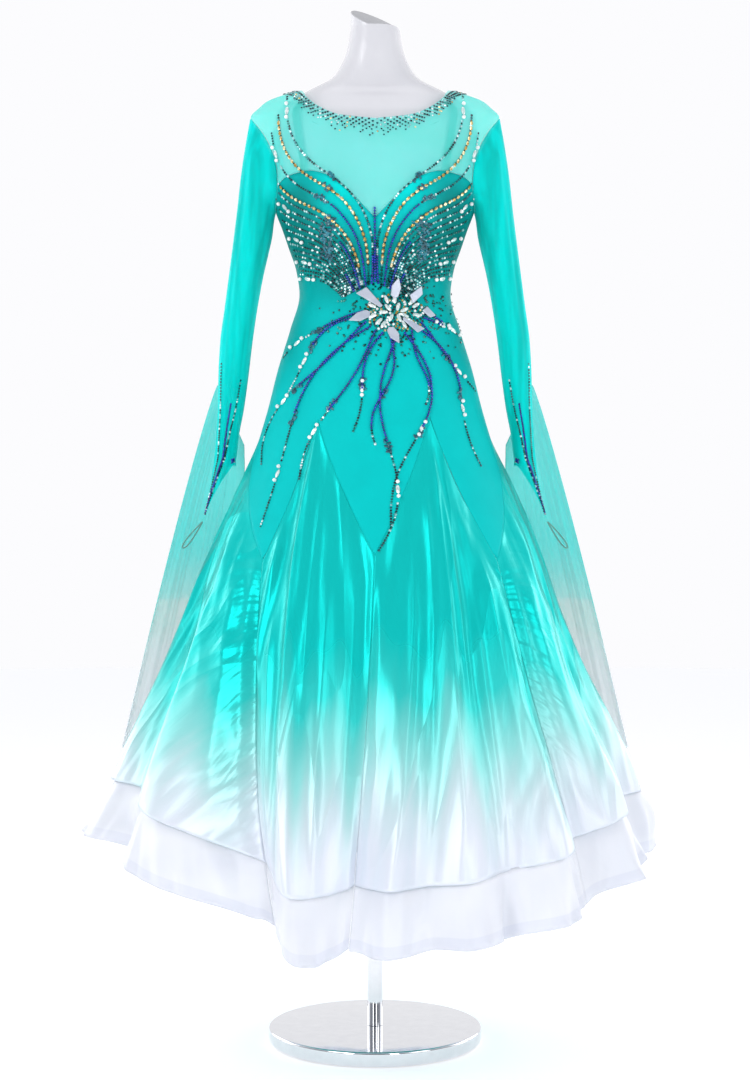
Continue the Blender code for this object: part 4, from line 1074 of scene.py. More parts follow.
BRAID = 0.82
RUFFLE_WIDE = 0.046
RUFFLE_NARROW = 0.021
RUFFLE_DEPTH = 0.0210
RUFFLE_RISE = 0.0070
organza, tree, shader = finish("white_organza_over_horsehair")
place = node(tree, "TexCoord").outputs["UV"]
fine = node(tree, "Mapping", Vector=place, Scale=(600.0, 600.0, 1.0))
crossing = node(tree, "TexNoise", Scale=1.0, Detail=1.0, Vector=fine.outputs["Vector"])
soft = node(tree, "TexNoise", Scale=9.0, Detail=2.0, Vector=place)
fall = node(tree, "Attribute", {"attribute_name": "fall"}).outputs["Fac"]
tint = ramp(tree, soft.outputs["Fac"], [(0.3, "#eaecf6"), (0.7, "#f4f5fb")])
braid = ramp(tree, fall, [(0.0, "#ffffff"), (BRAID - 0.02, "#ffffff"), (BRAID, "#f4f5fa")])
shade = node(tree, "MixRGB", {"blend_type": "MULTIPLY"}, Fac=0.8, Color1=tint, Color2=braid)
weave = node(tree, "Bump", Strength=0.08, Distance=0.0006, Height=crossing.outputs["Fac"])
set_shader(tree, shader, Base_Color=shade.outputs["Color"], Roughness=0.42, Specular_IOR_Level=0.5)
set_shader(tree, shader, Normal=weave.outputs["Normal"], Alpha=cover(0.95), Sheen_Weight=0.2)
soak(tree, shader, 0.12)

for name in PANELS:
    across = np.linspace(0, 1, COLUMNS[name[:5]])
    fall = np.linspace(0, 1, 17)[:, None] + 0 * across
    start = band_drop(name, across)
    drop = start + (1 - start) * fall
    rng = np.random.default_rng(len(name) + 40)
    width = width_at(name, across, np.ones(across.shape))
    ruffle = drift(rng, across, fall, max(4, round(width / RUFFLE_WIDE)), 1)
    ruffle = ruffle + 0.5 * drift(rng, across, fall, max(8, round(width / RUFFLE_NARROW)), 1)
    extra = RUFFLE_DEPTH * ruffle * fall * smooth(0, 0.08, across) * smooth(0, 0.08, 1 - across)
    tucked = 1 - smooth(0.0, 0.06, fall)
    grid = panel_point(name, across + 0 * drop, drop, extra - tucked * TUCK_DEPTH)
    grid[..., 2] += TUCK_RISE * tucked + RUFFLE_RISE * ruffle * fall
    grid = keep_seam_gap(grid)
    piece = cloth(
        "organza_" + name, grid[::-1], organza, "organza", ["hem_band_" + name],
        cut=flat_place(grid)[::-1], fall=fall[::-1],
    )
    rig.sheet(piece, **cut_of(grid), held="gathered", rests_on=["satin_" + name])

# ---------------------------------------------------------------- sleeves
# Slim tubes of sheer stretch mesh, doubled, set into the armholes. They hang empty with a few long soft
# creases, narrow at the forearm and end in a point over the back of the hand.

SLEEVE = table(
    "inner_x inner_z outer_x outer_z half_depth",
    (0.1590, 1.283, 0.2030, 1.405, 0.056),
    (0.1615, 1.262, 0.2105, 1.355, 0.054),
    (0.1665, 1.238, 0.2165, 1.300, 0.052),
    (0.1745, 1.203, 0.2245, 1.235, 0.049),
    (0.1850, 1.146, 0.2350, 1.155, 0.044),
    (0.1930, 1.090, 0.2430, 1.095, 0.041),
    (0.1990, 1.040, 0.2460, 1.040, 0.038),
    (0.2060, 0.990, 0.2470, 0.990, 0.034),
    (0.2135, 0.950, 0.2490, 0.950, 0.031),
    (0.2180, 0.912, 0.2520, 0.912, 0.029),
)
# Long creases down a sleeve: where round it in degrees, the half width in degrees, the depth as a share of
# the radius, and the shares of the way down between which each sets in and dies out.
SLEEVE_CREASES = table(
    "turn half_width depth sets_in full dies gone",
    (88, 9, 0.075, 0.05, 0.3, 2, 3),
    (52, 8, 0.055, 0.0, 0.2, 0.5, 0.9),
    (128, 9, 0.060, 0.2, 0.5, 2, 3),
    (265, 12, 0.060, 0.05, 0.3, 2, 3),
)
CUFF_TIP = np.array([0.267, -0.030, 0.815])
CUFF_POINT_SPREAD = 75.0
CUFF_POINT_MIDDLE = 67.5
CUFF_LIP = 0.010
ARMHOLE_SEAM_ANGLE = 0.45
ARMHOLE_SEAM_DROP = 0.0006


def armhole_ring(turns, side):
    """The armhole's edge: heights on a cosine from the shoulder tip to the armpit, azimuths on a sine."""
    middle, half = (SHOULDER_TIP + ARMPIT) / 2, (SHOULDER_TIP - ARMPIT) / 2 - ARMHOLE_SEAM_DROP
    z = middle + half * np.cos(turns)
    azimuth = 90.0 - (ARMHOLE_HALF_ANGLE - ARMHOLE_SEAM_ANGLE) * np.sin(turns)
    return section_point(DRESS, azimuth, z, out=0.0003) * [side, 1, 1]


def sleeve_grid(side, sides=72, rings=110):
    """Rings from the armhole to the wrist: each is a slanted ellipse between its inner and outer edge,
    smoothly between the table's rings, then drawn out to the point. Creases press its surface in."""
    turns = np.arange(sides) * 2 * np.pi / sides
    shown = [armhole_ring(turns, side)]
    for row in SLEEVE:
        middle = np.array([(row.inner_x + row.outer_x) / 2, 0.0, (row.inner_z + row.outer_z) / 2])
        reach = np.array([(row.outer_x - row.inner_x) / 2, 0.0, (row.outer_z - row.inner_z) / 2])
        ring = middle + np.cos(turns)[:, None] * reach
        ring[:, 1] -= row.half_depth * np.sin(turns)
        shown.append(ring * [side, 1, 1])
    knots = np.arange(len(shown))
    where = np.linspace(0, len(shown) - 1, rings)
    shown = np.array(shown)
    grid = np.empty((rings, sides, 3))
    for k in range(3):
        for column in range(sides):
            grid[:, column, k] = through(knots, shown[:, column, k], where)
    middle = grid.mean(axis=1, keepdims=True)
    along = (where / where[-1])[:, None]
    press = sum(
        row.depth * np.exp(-(((np.degrees(turns) - row.turn) / row.half_width) ** 2))
        * smooth(row.sets_in, row.full, along) * (1 - smooth(row.dies, row.gone, along))
        for row in SLEEVE_CREASES
    )
    press = press + 0.006 * np.sin(3 * turns + 9 * along) * smooth(0.05, 0.2, along)
    grid = middle + (grid - middle) * (1 - press[..., None])
    off_point = np.abs((np.degrees(turns) - CUFF_POINT_MIDDLE + 180) % 360 - 180)
    pointed = np.clip(1 - off_point / CUFF_POINT_SPREAD, 0, 1)[:, None]
    tip, wrist, drawn = CUFF_TIP * [side, 1, 1], grid[-1], []
    for share in np.linspace(0, 1, 26)[1:]:
        ring = wrist + share * pointed * (tip - wrist)
        ring[:, 2] -= CUFF_LIP * share * (1 - pointed[:, 0])
        drawn.append(ring)
    return np.concatenate([grid, np.array(drawn)])


# Stretch mesh, doubled: bright cyan with a soft glow, long streaks of painted shade down it where its
# creases fall, and the same fine grain as the yoke.
net, tree, shader = finish("cyan_stretch_mesh")
place = node(tree, "TexCoord").outputs["Object"]
loops = node(tree, "TexVoronoi", Scale=500.0, Vector=place)
# Painted shade: noise drawn out along the height darkens long streaks, standing for the creases' shade.
stretched = node(tree, "Mapping", Vector=place, Scale=(48.0, 48.0, 2.4))
cloudy = node(tree, "TexNoise", Scale=1.0, Detail=2.0, Vector=stretched.outputs["Vector"])
cloth_colour = ramp(tree, cloudy.outputs["Fac"], [(0.36, "#00dcd4"), (0.56, "#00fff8")])
knit = node(tree, "Bump", Strength=0.15, Distance=0.0003, Height=loops.outputs["Distance"])
set_shader(tree, shader, Base_Color=cloth_colour, Roughness=0.65, Specular_IOR_Level=0.05, Alpha=cover(0.94))
set_shader(tree, shader, Normal=knit.outputs["Normal"])
soak(tree, shader, 0.4)

sleeves = {}
for word, side in (("left", 1), ("right", -1)):
    grid = sleeve_grid(side)
    sleeves[word] = grid
    closed = np.concatenate([grid, grid[:, :1]], axis=1)
    piece = cloth(
        "mesh_sleeve_" + word, grid, net, "stretch_mesh", ["sleeve_" + word],
        wall=0.0006, wrap=True, flip=side < 0,
    )
    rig.sheet(
        piece, **cut_of(closed, level=False), held="hung",
        rests_on=["mesh_yoke_front", "mesh_yoke_back"],
    )

# ---------------------------------------------------------------- floats
# A long panel of chiffon sewn to the back of each forearm. It falls behind the skirt's side in soft
# flutes and is dipped like the skirt, but pale sooner.

FLOAT_EDGES = table(
    "top_x top_y top_z hem_azimuth hem_z",
    (0.2485, 0.014, 1.030, 88.0, 0.462),
    (0.2440, 0.042, 1.010, 104.0, 0.440),
    (0.2320, 0.050, 0.985, 118.0, 0.425),
    (0.2190, 0.046, 0.960, 133.0, 0.415),
    (0.2070, 0.032, 0.935, 150.0, 0.410),
)
FLOAT_STAND_OFF = 0.027
FLOAT_FLARE = 0.88
FLUTES = table("high half_waves start", (0.007, 6, 0.0), (0.003, 14, 1.0), (0.0012, 34, 0.0))
FLOAT_DIP = Dip(0.790, 0.545)


def float_grid(columns=101, rows=101):
    """Lines from the forearm's seam to the hem beside the skirt, level by level: height falls evenly and
    the way out goes as its share to the flare power. Flutes are sines that grow down the cloth."""
    across, down = np.linspace(0, 1, columns), np.linspace(0, 1, rows)
    knots = np.linspace(0, 1, len(FLOAT_EDGES))
    *top, hem_azimuth, hem_z = [through(knots, column, across) for column in zip(*FLOAT_EDGES)]
    top = np.stack(top, axis=-1)
    hem = section_point(DRESS, hem_azimuth, hem_z, out=FLOAT_STAND_OFF + 0.004)
    share = down[:, None, None]
    grid = top + (hem - top) * share**FLOAT_FLARE
    grid[..., 2] = (top + (hem - top) * share)[..., 2]
    width, _, back = sizes_at(DRESS, grid[..., 2])
    x, y = grid[..., 0] / (width + FLOAT_STAND_OFF), grid[..., 1] / (back + FLOAT_STAND_OFF)
    grid[..., :2] *= np.maximum(1.0, 1.0 / np.maximum(np.sqrt(x**2 + y**2), 0.2))[..., None]
    flutes = sum(high * np.sin(waves * np.pi * across + start) for high, waves, start in FLUTES)
    ripple = flutes[None, :] * down[:, None] ** 0.8
    grid[..., 1] += ripple
    grid[..., 0] += ripple * 0.6
    return grid


chiffon, tree, shader = finish("teal_to_white_chiffon")
place = node(tree, "TexCoord").outputs["UV"]
fine = node(tree, "Mapping", Vector=place, Scale=(500.0, 500.0, 1.0))
twisted = node(tree, "TexNoise", Scale=1.0, Detail=2.0, Vector=fine.outputs["Vector"])
crepe = node(tree, "Bump", Strength=0.15, Distance=0.0004, Height=twisted.outputs["Fac"])
cloth_colour = ramp(
    tree, node(tree, "Attribute", {"attribute_name": "fade"}).outputs["Fac"],
    [(0.0, "#08d8d0"), (0.35, "#2fdcd5"), (0.62, "#86e2de"), (0.84, "#d6ecf1"), (1.0, "#f2f4fb")],
)
set_shader(tree, shader, Base_Color=cloth_colour, Roughness=0.6, Specular_IOR_Level=0.08, Alpha=cover(0.88))
set_shader(tree, shader, Sheen_Weight=0.15, Normal=crepe.outputs["Normal"])
soak(tree, shader, 0.55)

for word, side in (("left", 1), ("right", -1)):
    grid = float_grid()
    fade = smooth(0, 1, (FLOAT_DIP.starts - grid[..., 2]) / (FLOAT_DIP.starts - FLOAT_DIP.ends))
    piece = cloth(
        "chiffon_float_" + word, grid * [side, 1, 1], chiffon, "chiffon", ["float_" + word],
        wall=0.0004, flip=side > 0, cut=flat_place(grid), fade=fade,
    )
    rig.sheet(piece, **cut_of(grid), held="hung", rests_on=["mesh_sleeve_" + word])

# ---------------------------------------------------------------- finger loops
# A loop of thin covered elastic at each sleeve's point, which slips over the middle finger.

LOOP_LENGTH = 0.050
LOOP_HALF_WIDTH = 0.0052
LOOP_CORD = 0.0011


def tube(path, radius, sides=10, closed=False):
    """A tube's points and quads: at each point of the path a circle square to the path's direction."""
    path = np.asarray(path, float)
    ahead = np.roll(path, -1, axis=0) - np.roll(path, 1, axis=0)
    if not closed:
        ahead[0], ahead[-1] = path[1] - path[0], path[-1] - path[-2]
    ahead /= np.linalg.norm(ahead, axis=1)[:, None]
    beside = np.cross(ahead, [0.0, 1.0, 0.0])
    beside /= np.linalg.norm(beside, axis=1)[:, None]
    other = np.cross(ahead, beside)
    turn = np.arange(sides) * 2 * np.pi / sides
    rings = path[:, None] + radius * (
        np.cos(turn)[None, :, None] * beside[:, None] + np.sin(turn)[None, :, None] * other[:, None]
    )
    if closed:
        rings = np.concatenate([rings, rings[:1]])
    quads = np.array(grid_quads(len(rings), sides, wrap=True))
    if closed:
        quads %= len(path) * sides
        rings = rings[:-1]
    return rings.reshape(-1, 3), quads.tolist()


turn = np.arange(64) * 2 * np.pi / 64
along = (1 - np.cos(turn)) / 2 * LOOP_LENGTH
across = LOOP_HALF_WIDTH * np.sin(turn) * (0.25 + 0.75 * (1 - np.cos(turn)) / 2)
for word, side in (("left", 1), ("right", -1)):
    towards, beside = np.array([0.60 * side, 0.0, -0.80]), np.array([0.80 * side, 0.0, 0.60])
    path = CUFF_TIP * [side, 1, 1] + towards * 0.0028 + along[:, None] * towards + across[:, None] * beside
    points, quads = tube(path, LOOP_CORD, closed=True)
    loop = mesh_piece("elastic_loop_" + word, points, quads, elastic)
    ride_on_frame(loop, "elastic", "finger_loop_" + word)

# ---------------------------------------------------------------- beads, pearls and foiled stones
# Everything that is sewn or glued on: strings of rhinestones and blue seed beads that fan out of the waist
# brooch, with groups of pearls and navettes. Each kind of bead is one joined mesh of small cut shapes.

RHINESTONE = 0.0020
SEED_BEAD = 0.0020
PEARL = 0.0032
NAVETTE = (0.0072, 0.0032)
GROUP_STEP = 0.0108
STITCH_LIFT = 0.0006


def faceted(sides, rings):
    """A small cut stone: each (size, height) ring is a polygon round its axis, and both ends are closed."""
    turn = np.arange(sides) * 2 * np.pi / sides
    points = np.concatenate([
        np.stack([size * np.cos(turn), size * np.sin(turn), np.full(sides, height)], axis=-1)
        for size, height in rings
    ])
    faces = grid_quads(len(rings), sides, wrap=True)
    last = (len(rings) - 1) * sides
    return points, [*faces, list(range(sides))[::-1], [last + k for k in range(sides)]]


# Unit shapes, of half width 1: a chaton with its flat table, a rounded bead, and a long pointed navette.
CHATON = faceted(7, [(0.95, 0.0), (1.0, 0.25), (0.52, 0.72)])
ROUND = faceted(8, [(0.45, 0.06), (0.87, 0.42), (1.0, 0.95), (0.87, 1.48), (0.45, 1.86)])
SLIM = faceted(8, [(0.94, 0.0), (1.0, 0.30), (0.50, 0.85)])


def azimuth_at(x, z):
    """The azimuth of the dress's front at a sideways place: the superellipse's sine, solved for the angle."""
    width, _, _ = sizes_at(DRESS, z)
    s = np.clip(np.abs(x) / width, 0, 0.999) ** (1 / boxiness(z))
    return np.degrees(np.arcsin(s)) * np.sign(x)


def seat_at(azimuth, z, out=STITCH_LIFT):
    """Places on the dress, each with its rightward, upward and outward directions."""
    here = section_point(DRESS, azimuth, z)
    right = section_point(DRESS, azimuth + 0.5, z) - here
    rise = section_point(DRESS, azimuth, z + 0.002) - here
    return frame_of(here, right, rise, out)


def seat(x, z, out=STITCH_LIFT):
    """The same for places on the front, by how far they are sideways."""
    x, z = np.asarray(x, float), np.asarray(z, float)
    return seat_at(azimuth_at(x, z), z, out)


def frame_of(here, right, rise, out):
    """Orthogonal right, up and outward directions from two that lie on a surface, and places moved out."""
    right = right / np.linalg.norm(right, axis=-1, keepdims=True)
    outward = np.cross(right, rise)
    outward /= np.linalg.norm(outward, axis=-1, keepdims=True)
    return here + out * outward, right, np.cross(outward, right), outward


def scatter(unit, places, half_width, half_length=None, turn=None):
    """Copies of a unit shape at places: turned in the surface by an angle, and stretched along it."""
    here, right, up, outward = places
    points, faces = unit
    count = len(here)
    half_width = np.broadcast_to(half_width, count)
    half_length = half_width if half_length is None else np.broadcast_to(half_length, count)
    turn = np.zeros(count) if turn is None else np.broadcast_to(turn, count)
    cos, sin = np.cos(turn)[:, None], np.sin(turn)[:, None]
    along, beside = right * cos + up * sin, up * cos - right * sin
    local = points[None]
    placed = (
        here[:, None]
        + local[..., 0:1] * (half_length[:, None] * along)[:, None]
        + local[..., 1:2] * (half_width[:, None] * beside)[:, None]
        + local[..., 2:3] * (half_width[:, None] * outward)[:, None]
    )
    return placed.reshape(-1, 3), faces, count, len(points)


jewels = {}


def add_jewels(kind, *shape):
    """Keeps copies of a shape for the joined mesh of this kind."""
    points, faces, count, size = scatter(*shape)
    all_faces = [[k + n * size for k in face] for n in range(count) for face in faces]
    jewels.setdefault(kind, []).append((points, all_faces))


def route(points, pitch):
    """Places every pitch metres along a smooth curve through (x, z) points, and the curve's angle there."""
    length = np.concatenate([[0], np.linalg.norm(np.diff(points, axis=0), axis=1).cumsum()])
    fine = np.linspace(0, length[-1], 400)
    curve = np.stack([through(length, axis, fine) for axis in points.T], axis=-1)
    step = np.concatenate([[0], np.linalg.norm(np.diff(curve, axis=0), axis=1).cumsum()])
    at = np.arange(0, step[-1], pitch)
    x, z = np.interp(at, step, curve[:, 0]), np.interp(at, step, curve[:, 1])
    return x, z, np.arctan2(np.gradient(z), np.gradient(x))


# The bead strings set off from the brooch. For each: its stones' colour, where along it blue beads give way
# to them, and where a group of pearl, navette and pearl sits, or 0 for none.
String = namedtuple("String", "colour blue_until group_at points")
STRAND_POINTS = 13
ARMHOLE_MARGIN = 1.5  # degrees
WIDEST = 0.96  # of the body's half width: past it a small step sideways is a long way round the body


def strand(start, heading, turn, sway, reach):
    """The (x, z) points of a string that leaves start at a heading in degrees, turns evenly on its way, and
    leans by sway to one side at its ends and to the other at its middle."""
    share = np.linspace(0, 1, STRAND_POINTS)
    angle = np.radians(heading + turn * share + sway * np.cos(2 * np.pi * share))
    run = np.stack([np.cos(angle), np.sin(angle)], axis=-1)[:-1] * reach / (STRAND_POINTS - 1)
    return np.array(start) + np.concatenate([[(0, 0)], run.cumsum(axis=0)])


# The fan above the brooch, for the wearer's left and mirrored for the right, from the middle outwards: each
# string starts a little further out, leans further over and is shorter than the one before.
FAN = [
    ("smoke", 0.12, 0.93), ("gold", 0.00, 0.00), ("smoke", 0.46, 0.88), ("gold", 0.00, 0.00),
    ("emerald", 0.40, 0.90), ("smoke", 0.00, 0.00), ("smoke", 0.22, 0.90), ("emerald", 0.00, 0.00),
    ("smoke", 0.00, 0.88), ("emerald", 0.00, 0.00), ("smoke", 0.00, 0.82),
]
UPPER = [
    String(*row, strand((0.005 + 0.0045 * k, 1.177 - 0.002 * k), 66 - 3.6 * k, 0, 27 - k, 0.340 - 0.023 * k))
    for k, row in enumerate(FAN)
]

# The tendrils below it, from the wearer's right round to the left, spaced evenly round the brooch's lower
# half. Each sets off outwards and has turned to its aim by its end. Long and short ones lie side by side.
TENDRILS = table(
    "colour blue_until group_at aim sway reach",
    ("emerald", 0.45, 0.80, 262, 10, 0.200),
    ("smoke", 0.50, 0.66, 258, -12, 0.180),
    ("emerald", 0.50, 0.62, 262, 14, 0.280),
    ("emerald", 0.50, 0.76, 264, -10, 0.360),
    ("smoke", 0.55, 0.70, 254, 12, 0.260),
    ("emerald", 0.60, 0.58, 262, -14, 0.160),
    ("smoke", 0.85, 0.00, 268, 24, 0.180),
    ("emerald", 0.50, 0.72, 258, -22, 0.340),
    ("emerald", 0.50, 0.50, 246, 24, 0.320),
    ("smoke", 0.75, 0.00, 262, -18, 0.120),
    ("emerald", 0.50, 0.62, 280, 16, 0.240),
    ("emerald", 0.50, 0.72, 284, -12, 0.260),
    ("smoke", 0.50, 0.48, 280, 10, 0.320),
    ("emerald", 0.45, 0.80, 274, -8, 0.180),
)
ROOTS_MIDDLE = (0.028, 1.132)
ROOTS_REACH = (0.048, 0.036)
FIRST_HEADING = 186
HEADINGS = 158


def tendril_points(row, share):
    """A tendril that sets off from the given share of the way round the brooch's lower half."""
    turn = np.pi * (1 + share)
    start = np.array(ROOTS_MIDDLE) + np.array(ROOTS_REACH) * (np.cos(turn), np.sin(turn))
    heading = FIRST_HEADING + HEADINGS * share
    return strand(start, heading, row.aim - heading, row.sway, row.reach)


LOWER = [String(*row[:3], tendril_points(row, k / (len(TENDRILS) - 1))) for k, row in enumerate(TENDRILS)]


def halfway(first, second):
    """A plain string that runs midway between two neighbours of the fan."""
    return String("smoke", 0.0, 0.0, (first.points + second.points) / 2)


UPPER += [halfway(first, second) for first, second in zip(UPPER[3:], UPPER[4:])]
mirrored = [item._replace(points=item.points * (-1, 1)) for item in UPPER]


def laid_route(item, pitch):
    """The places of a string's beads that lie on the front, inside the armholes, and each one's share."""
    x, z, angle = route(item.points, pitch)
    in_front = np.abs(azimuth_at(x, z)) < side_azimuth(z) - ARMHOLE_MARGIN
    kept = in_front & (np.abs(x) < WIDEST * sizes_at(DRESS, z)[0])
    x, z, angle = x[kept], z[kept], angle[kept]
    return x, z, angle, np.linspace(0, 1, len(x))


# Which stones each colour of string, the neckline and the brooch's bed are mixed from: each kind takes the
# random picks below its number that the kinds before it left.
STONE_MIX = {
    "smoke": [("crystal", 0.34), ("smoke", 0.80), ("emerald", 1.0)],
    "emerald": [("crystal", 0.18), ("smoke", 0.62), ("emerald", 1.0)],
    "gold": [("crystal", 0.15), ("smoke", 0.55), ("emerald", 1.0)],
    "royal_blue": [("royal_blue", 1.0)],
    "neckline": [("emerald", 0.20), ("smoke", 0.74), ("crystal", 0.95), ("gold", 1.0)],
    "bed": [("gold", 0.22), ("emerald", 0.50), ("smoke", 0.78), ("pearl", 1.0)],
}


def mixed_picks(mix, pick):
    """Each kind of a mix with the picks that fall to it."""
    low = 0.0
    for kind, high in STONE_MIX[mix]:
        yield kind, (pick >= low) & (pick < high)
        low = high


def mix_jewels(mix, places, size):
    """Chatons of a mix's kinds at places, drawn at random."""
    for kind, some in mixed_picks(mix, rng.random(len(places[0]))):
        add_jewels(kind, CHATON, tuple(value[some] for value in places), size)


LONG_STRING = 30  # stones
CLUMP = 9
STONE_GAP = 0.0002
rng = np.random.default_rng(7)
for item in UPPER + mirrored + LOWER:
    x, z, angle, share = laid_route(item, 2 * SEED_BEAD)
    blue = share < item.blue_until
    add_jewels("royal_blue", ROUND, seat(x[blue], z[blue]), SEED_BEAD)
    x, z, angle, share = laid_route(item, 2 * RHINESTONE + STONE_GAP)
    cut = (share >= item.blue_until) & ((item.group_at == 0) | (np.abs(share - item.group_at) * len(x) > 4))
    pick = rng.random(len(x))
    for kind, some in mixed_picks(item.colour, pick):
        some = cut & some
        size = RHINESTONE * rng.uniform(0.85, 1.12, some.sum())
        add_jewels(kind, CHATON, seat(x[some], z[some]), size, None, rng.uniform(0, 6, some.sum()))
    if item.colour == "gold":
        big = np.arange(8, len(x) - 2, 2)
        add_jewels("gold", SLIM, seat(x[big], z[big], 0.0016), 0.0025, 0.0036, angle[big])
    if item.group_at:
        middle = int(np.argmin(np.abs(share - item.group_at)))
        step = np.array([-1, 0, 1]) * GROUP_STEP
        group_x = x[middle] + step * np.cos(angle[middle])
        group_z = z[middle] + step * np.sin(angle[middle])
        ends = [0, 2]
        add_jewels("pearl", ROUND, seat(group_x[ends], group_z[ends]), PEARL)
        add_jewels("navette", SLIM, seat(group_x[1:2], group_z[1:2]), NAVETTE[1], NAVETTE[0], angle[middle])
    # A small clump of teal glass drops partway along each long string.
    if len(x) > LONG_STRING:
        middle = int(0.52 * len(x))
        turn = rng.uniform(0, 2 * np.pi, CLUMP)
        along, beside = rng.uniform(-0.0100, 0.0100, CLUMP), rng.uniform(-0.0035, 0.0035, CLUMP)
        clump_x = x[middle] + along * np.cos(angle[middle]) - beside * np.sin(angle[middle])
        clump_z = z[middle] + along * np.sin(angle[middle]) + beside * np.cos(angle[middle])
        add_jewels("teal_drop", SLIM, seat(clump_x, clump_z, 0.0010), 0.0021, 0.0040, turn)
z = np.arange(1.180, 1.290, 2 * SEED_BEAD)
add_jewels("royal_blue", ROUND, seat(0 * z, z), SEED_BEAD)

# Along the neckline: packed rows, then rows that thin out downwards and towards the shoulders.
ROW_STEP = 0.0034
STONE_SHARE = 0.0042 / 0.155  # the share of the way to the shoulder that a stone takes up
NECK_END = 0.86
NECK_MARGIN = 0.0024
PACKED_ROWS = 4
for row in range(9):
    across = np.arange(-NECK_END, NECK_END, STONE_SHARE) + 0.5 * (row % 2) * STONE_SHARE
    if row > PACKED_ROWS - 2:
        across = across[np.abs(across) < 0.62 - 0.05 * row]
    if row > PACKED_ROWS - 1:
        across = across + rng.uniform(-0.004, 0.004, len(across))
        kept = (1.2 - (row - 3) / 5.5) * np.cos(np.clip(across * 2.4, -1.5, 1.5))
        across = across[rng.random(len(across)) < kept]
    z = edge_height(FRONT_NECKLINE, across) - NECK_MARGIN - ROW_STEP * row * (1 - 0.55 * np.abs(across))
    mix_jewels("neckline", seat_at(across * 90.0, z), 0.0019 if row < PACKED_ROWS else 0.0015)

# Down each forearm three strings run into the point over the hand, with a small blue bow at the inner one.
SLEEVE_STRINGS = table(
    "colour start end turn_from turn_to",
    ("smoke", 0.58, 0.985, 128.0, 70.0),
    ("royal_blue", 0.64, 0.985, 96.0, 68.0),
    ("emerald", 0.54, 0.985, 42.0, 66.0),
)
BOW_HEIGHT = 0.905
BOW_TURN = 140
for word, side in (("left", 1), ("right", -1)):
    grid = sleeves[word]
    for item in SLEEVE_STRINGS:
        share = np.linspace(item.start, item.end, 62)
        turn = np.linspace(item.turn_from, item.turn_to, len(share))
        row = np.clip(share * (len(grid) - 1), 0, len(grid) - 2)
        column = turn / 360.0 * grid.shape[1]
        low_row, low_column = row.astype(int), column.astype(int)
        part_row, part_column = (row - low_row)[:, None], (column - low_column)[:, None]
        corner = [[grid[low_row + r, low_column + c] for c in (0, 1)] for r in (0, 1)]
        here = (corner[0][0] * (1 - part_column) + corner[0][1] * part_column) * (1 - part_row)
        here = here + (corner[1][0] * (1 - part_column) + corner[1][1] * part_column) * part_row
        right = (corner[0][0] - corner[0][1]) * side
        rise = corner[0][0] - corner[1][0]
        mix_jewels(item.colour, frame_of(here, right, rise, STITCH_LIFT), 0.0018)
    middle = np.argmin(np.abs(grid.mean(axis=1)[:, 2] - BOW_HEIGHT))
    column = int(BOW_TURN / 360 * grid.shape[1])
    here = grid[middle, [column]]
    right = (grid[middle, [column]] - grid[middle, [column + 1]]) * side
    rise = grid[middle, [column]] - grid[middle + 1, [column]]
    bow = frame_of(here, right, rise, STITCH_LIFT)
    for lean in (0.6, 2.5, 3.8, 5.6):
        add_jewels("royal_blue", SLIM, bow, 0.0024, 0.0062, lean)

# The brooch: between its flat mirror stones a packed bed of crystals and pearls, laid as a sunflower's seeds
# are, with navettes that point outwards on top of it.
BROOCH_CENTRE = (0.030, 1.130)
BED_COUNT = 190
BED_REACH = 0.0027
GOLDEN_ANGLE = 137.508
SPRAY_COUNT = 260


def round_brooch(turn, far, wide, tall):
    """Places round the brooch's centre, stretched to an ellipse."""
    return BROOCH_CENTRE[0] + wide * far * np.cos(turn), BROOCH_CENTRE[1] + tall * far * np.sin(turn)


order = np.arange(BED_COUNT)
x, z = round_brooch(order * np.radians(GOLDEN_ANGLE), BED_REACH * np.sqrt(order + 0.5), 1.30, 0.80)
bed_size = {"emerald": 0.0021}
for kind, some in mixed_picks("bed", rng.random(BED_COUNT)):
    unit = ROUND if kind == "pearl" else CHATON
    add_jewels(kind, unit, seat(x[some], z[some], 0.0008), bed_size.get(kind, 0.0022))
for count, reach in ((7, 0.012), (11, 0.028)):
    turn = np.arange(count) * 2 * np.pi / count + rng.uniform(0, 1) + rng.uniform(-0.2, 0.2, count)
    x, z = round_brooch(turn, reach * rng.uniform(0.88, 1.12, count), 1.30, 0.80)
    add_jewels("navette", SLIM, seat(x, z, 0.0036), 0.0030, 0.0072, turn)
turn, far = rng.uniform(0, 2 * np.pi, SPRAY_COUNT), rng.triangular(0.042, 0.050, 0.115, SPRAY_COUNT)
x, z = round_brooch(turn, far, 1.1, 0.75)
add_jewels("emerald", CHATON, seat(x, z), rng.uniform(0.0014, 0.0022, SPRAY_COUNT))

# What each kind is: foiled lead glass is a tinted mirror behind clear glass, a seed bead is polished
# coloured glass, and a pearl is a soft-lit coated ball. Each bead differs a little, by a 4 mm cell pattern.
SMOOTH_KINDS = ("royal_blue", "pearl")
JEWELS = table(
    "kind finish dark bright metallic roughness",
    ("royal_blue", "royal_blue_glass_bead", "#030f7c", "#0a28b4", 0.05, 0.20),
    ("crystal", "clear_foiled_rhinestone", "#8cc9ca", "#eefbfb", 0.45, 0.14),
    ("smoke", "smoky_foiled_rhinestone", "#062c35", "#1c626c", 0.45, 0.14),
    ("emerald", "emerald_foiled_rhinestone", "#02433f", "#0f8a80", 0.45, 0.14),
    ("pearl", "white_glass_pearl", "#e6e9ea", "#fdfdfb", 0.0, 0.16),
    ("navette", "milk_opal_navette", "#d4e6e4", "#fbfffd", 0.25, 0.10),
    ("teal_drop", "teal_glass_drop", "#004f5e", "#047a8c", 0.05, 0.30),
    ("gold", "gold_foiled_rhinestone", "#c09a44", "#fff0bc", 0.55, 0.18),
)
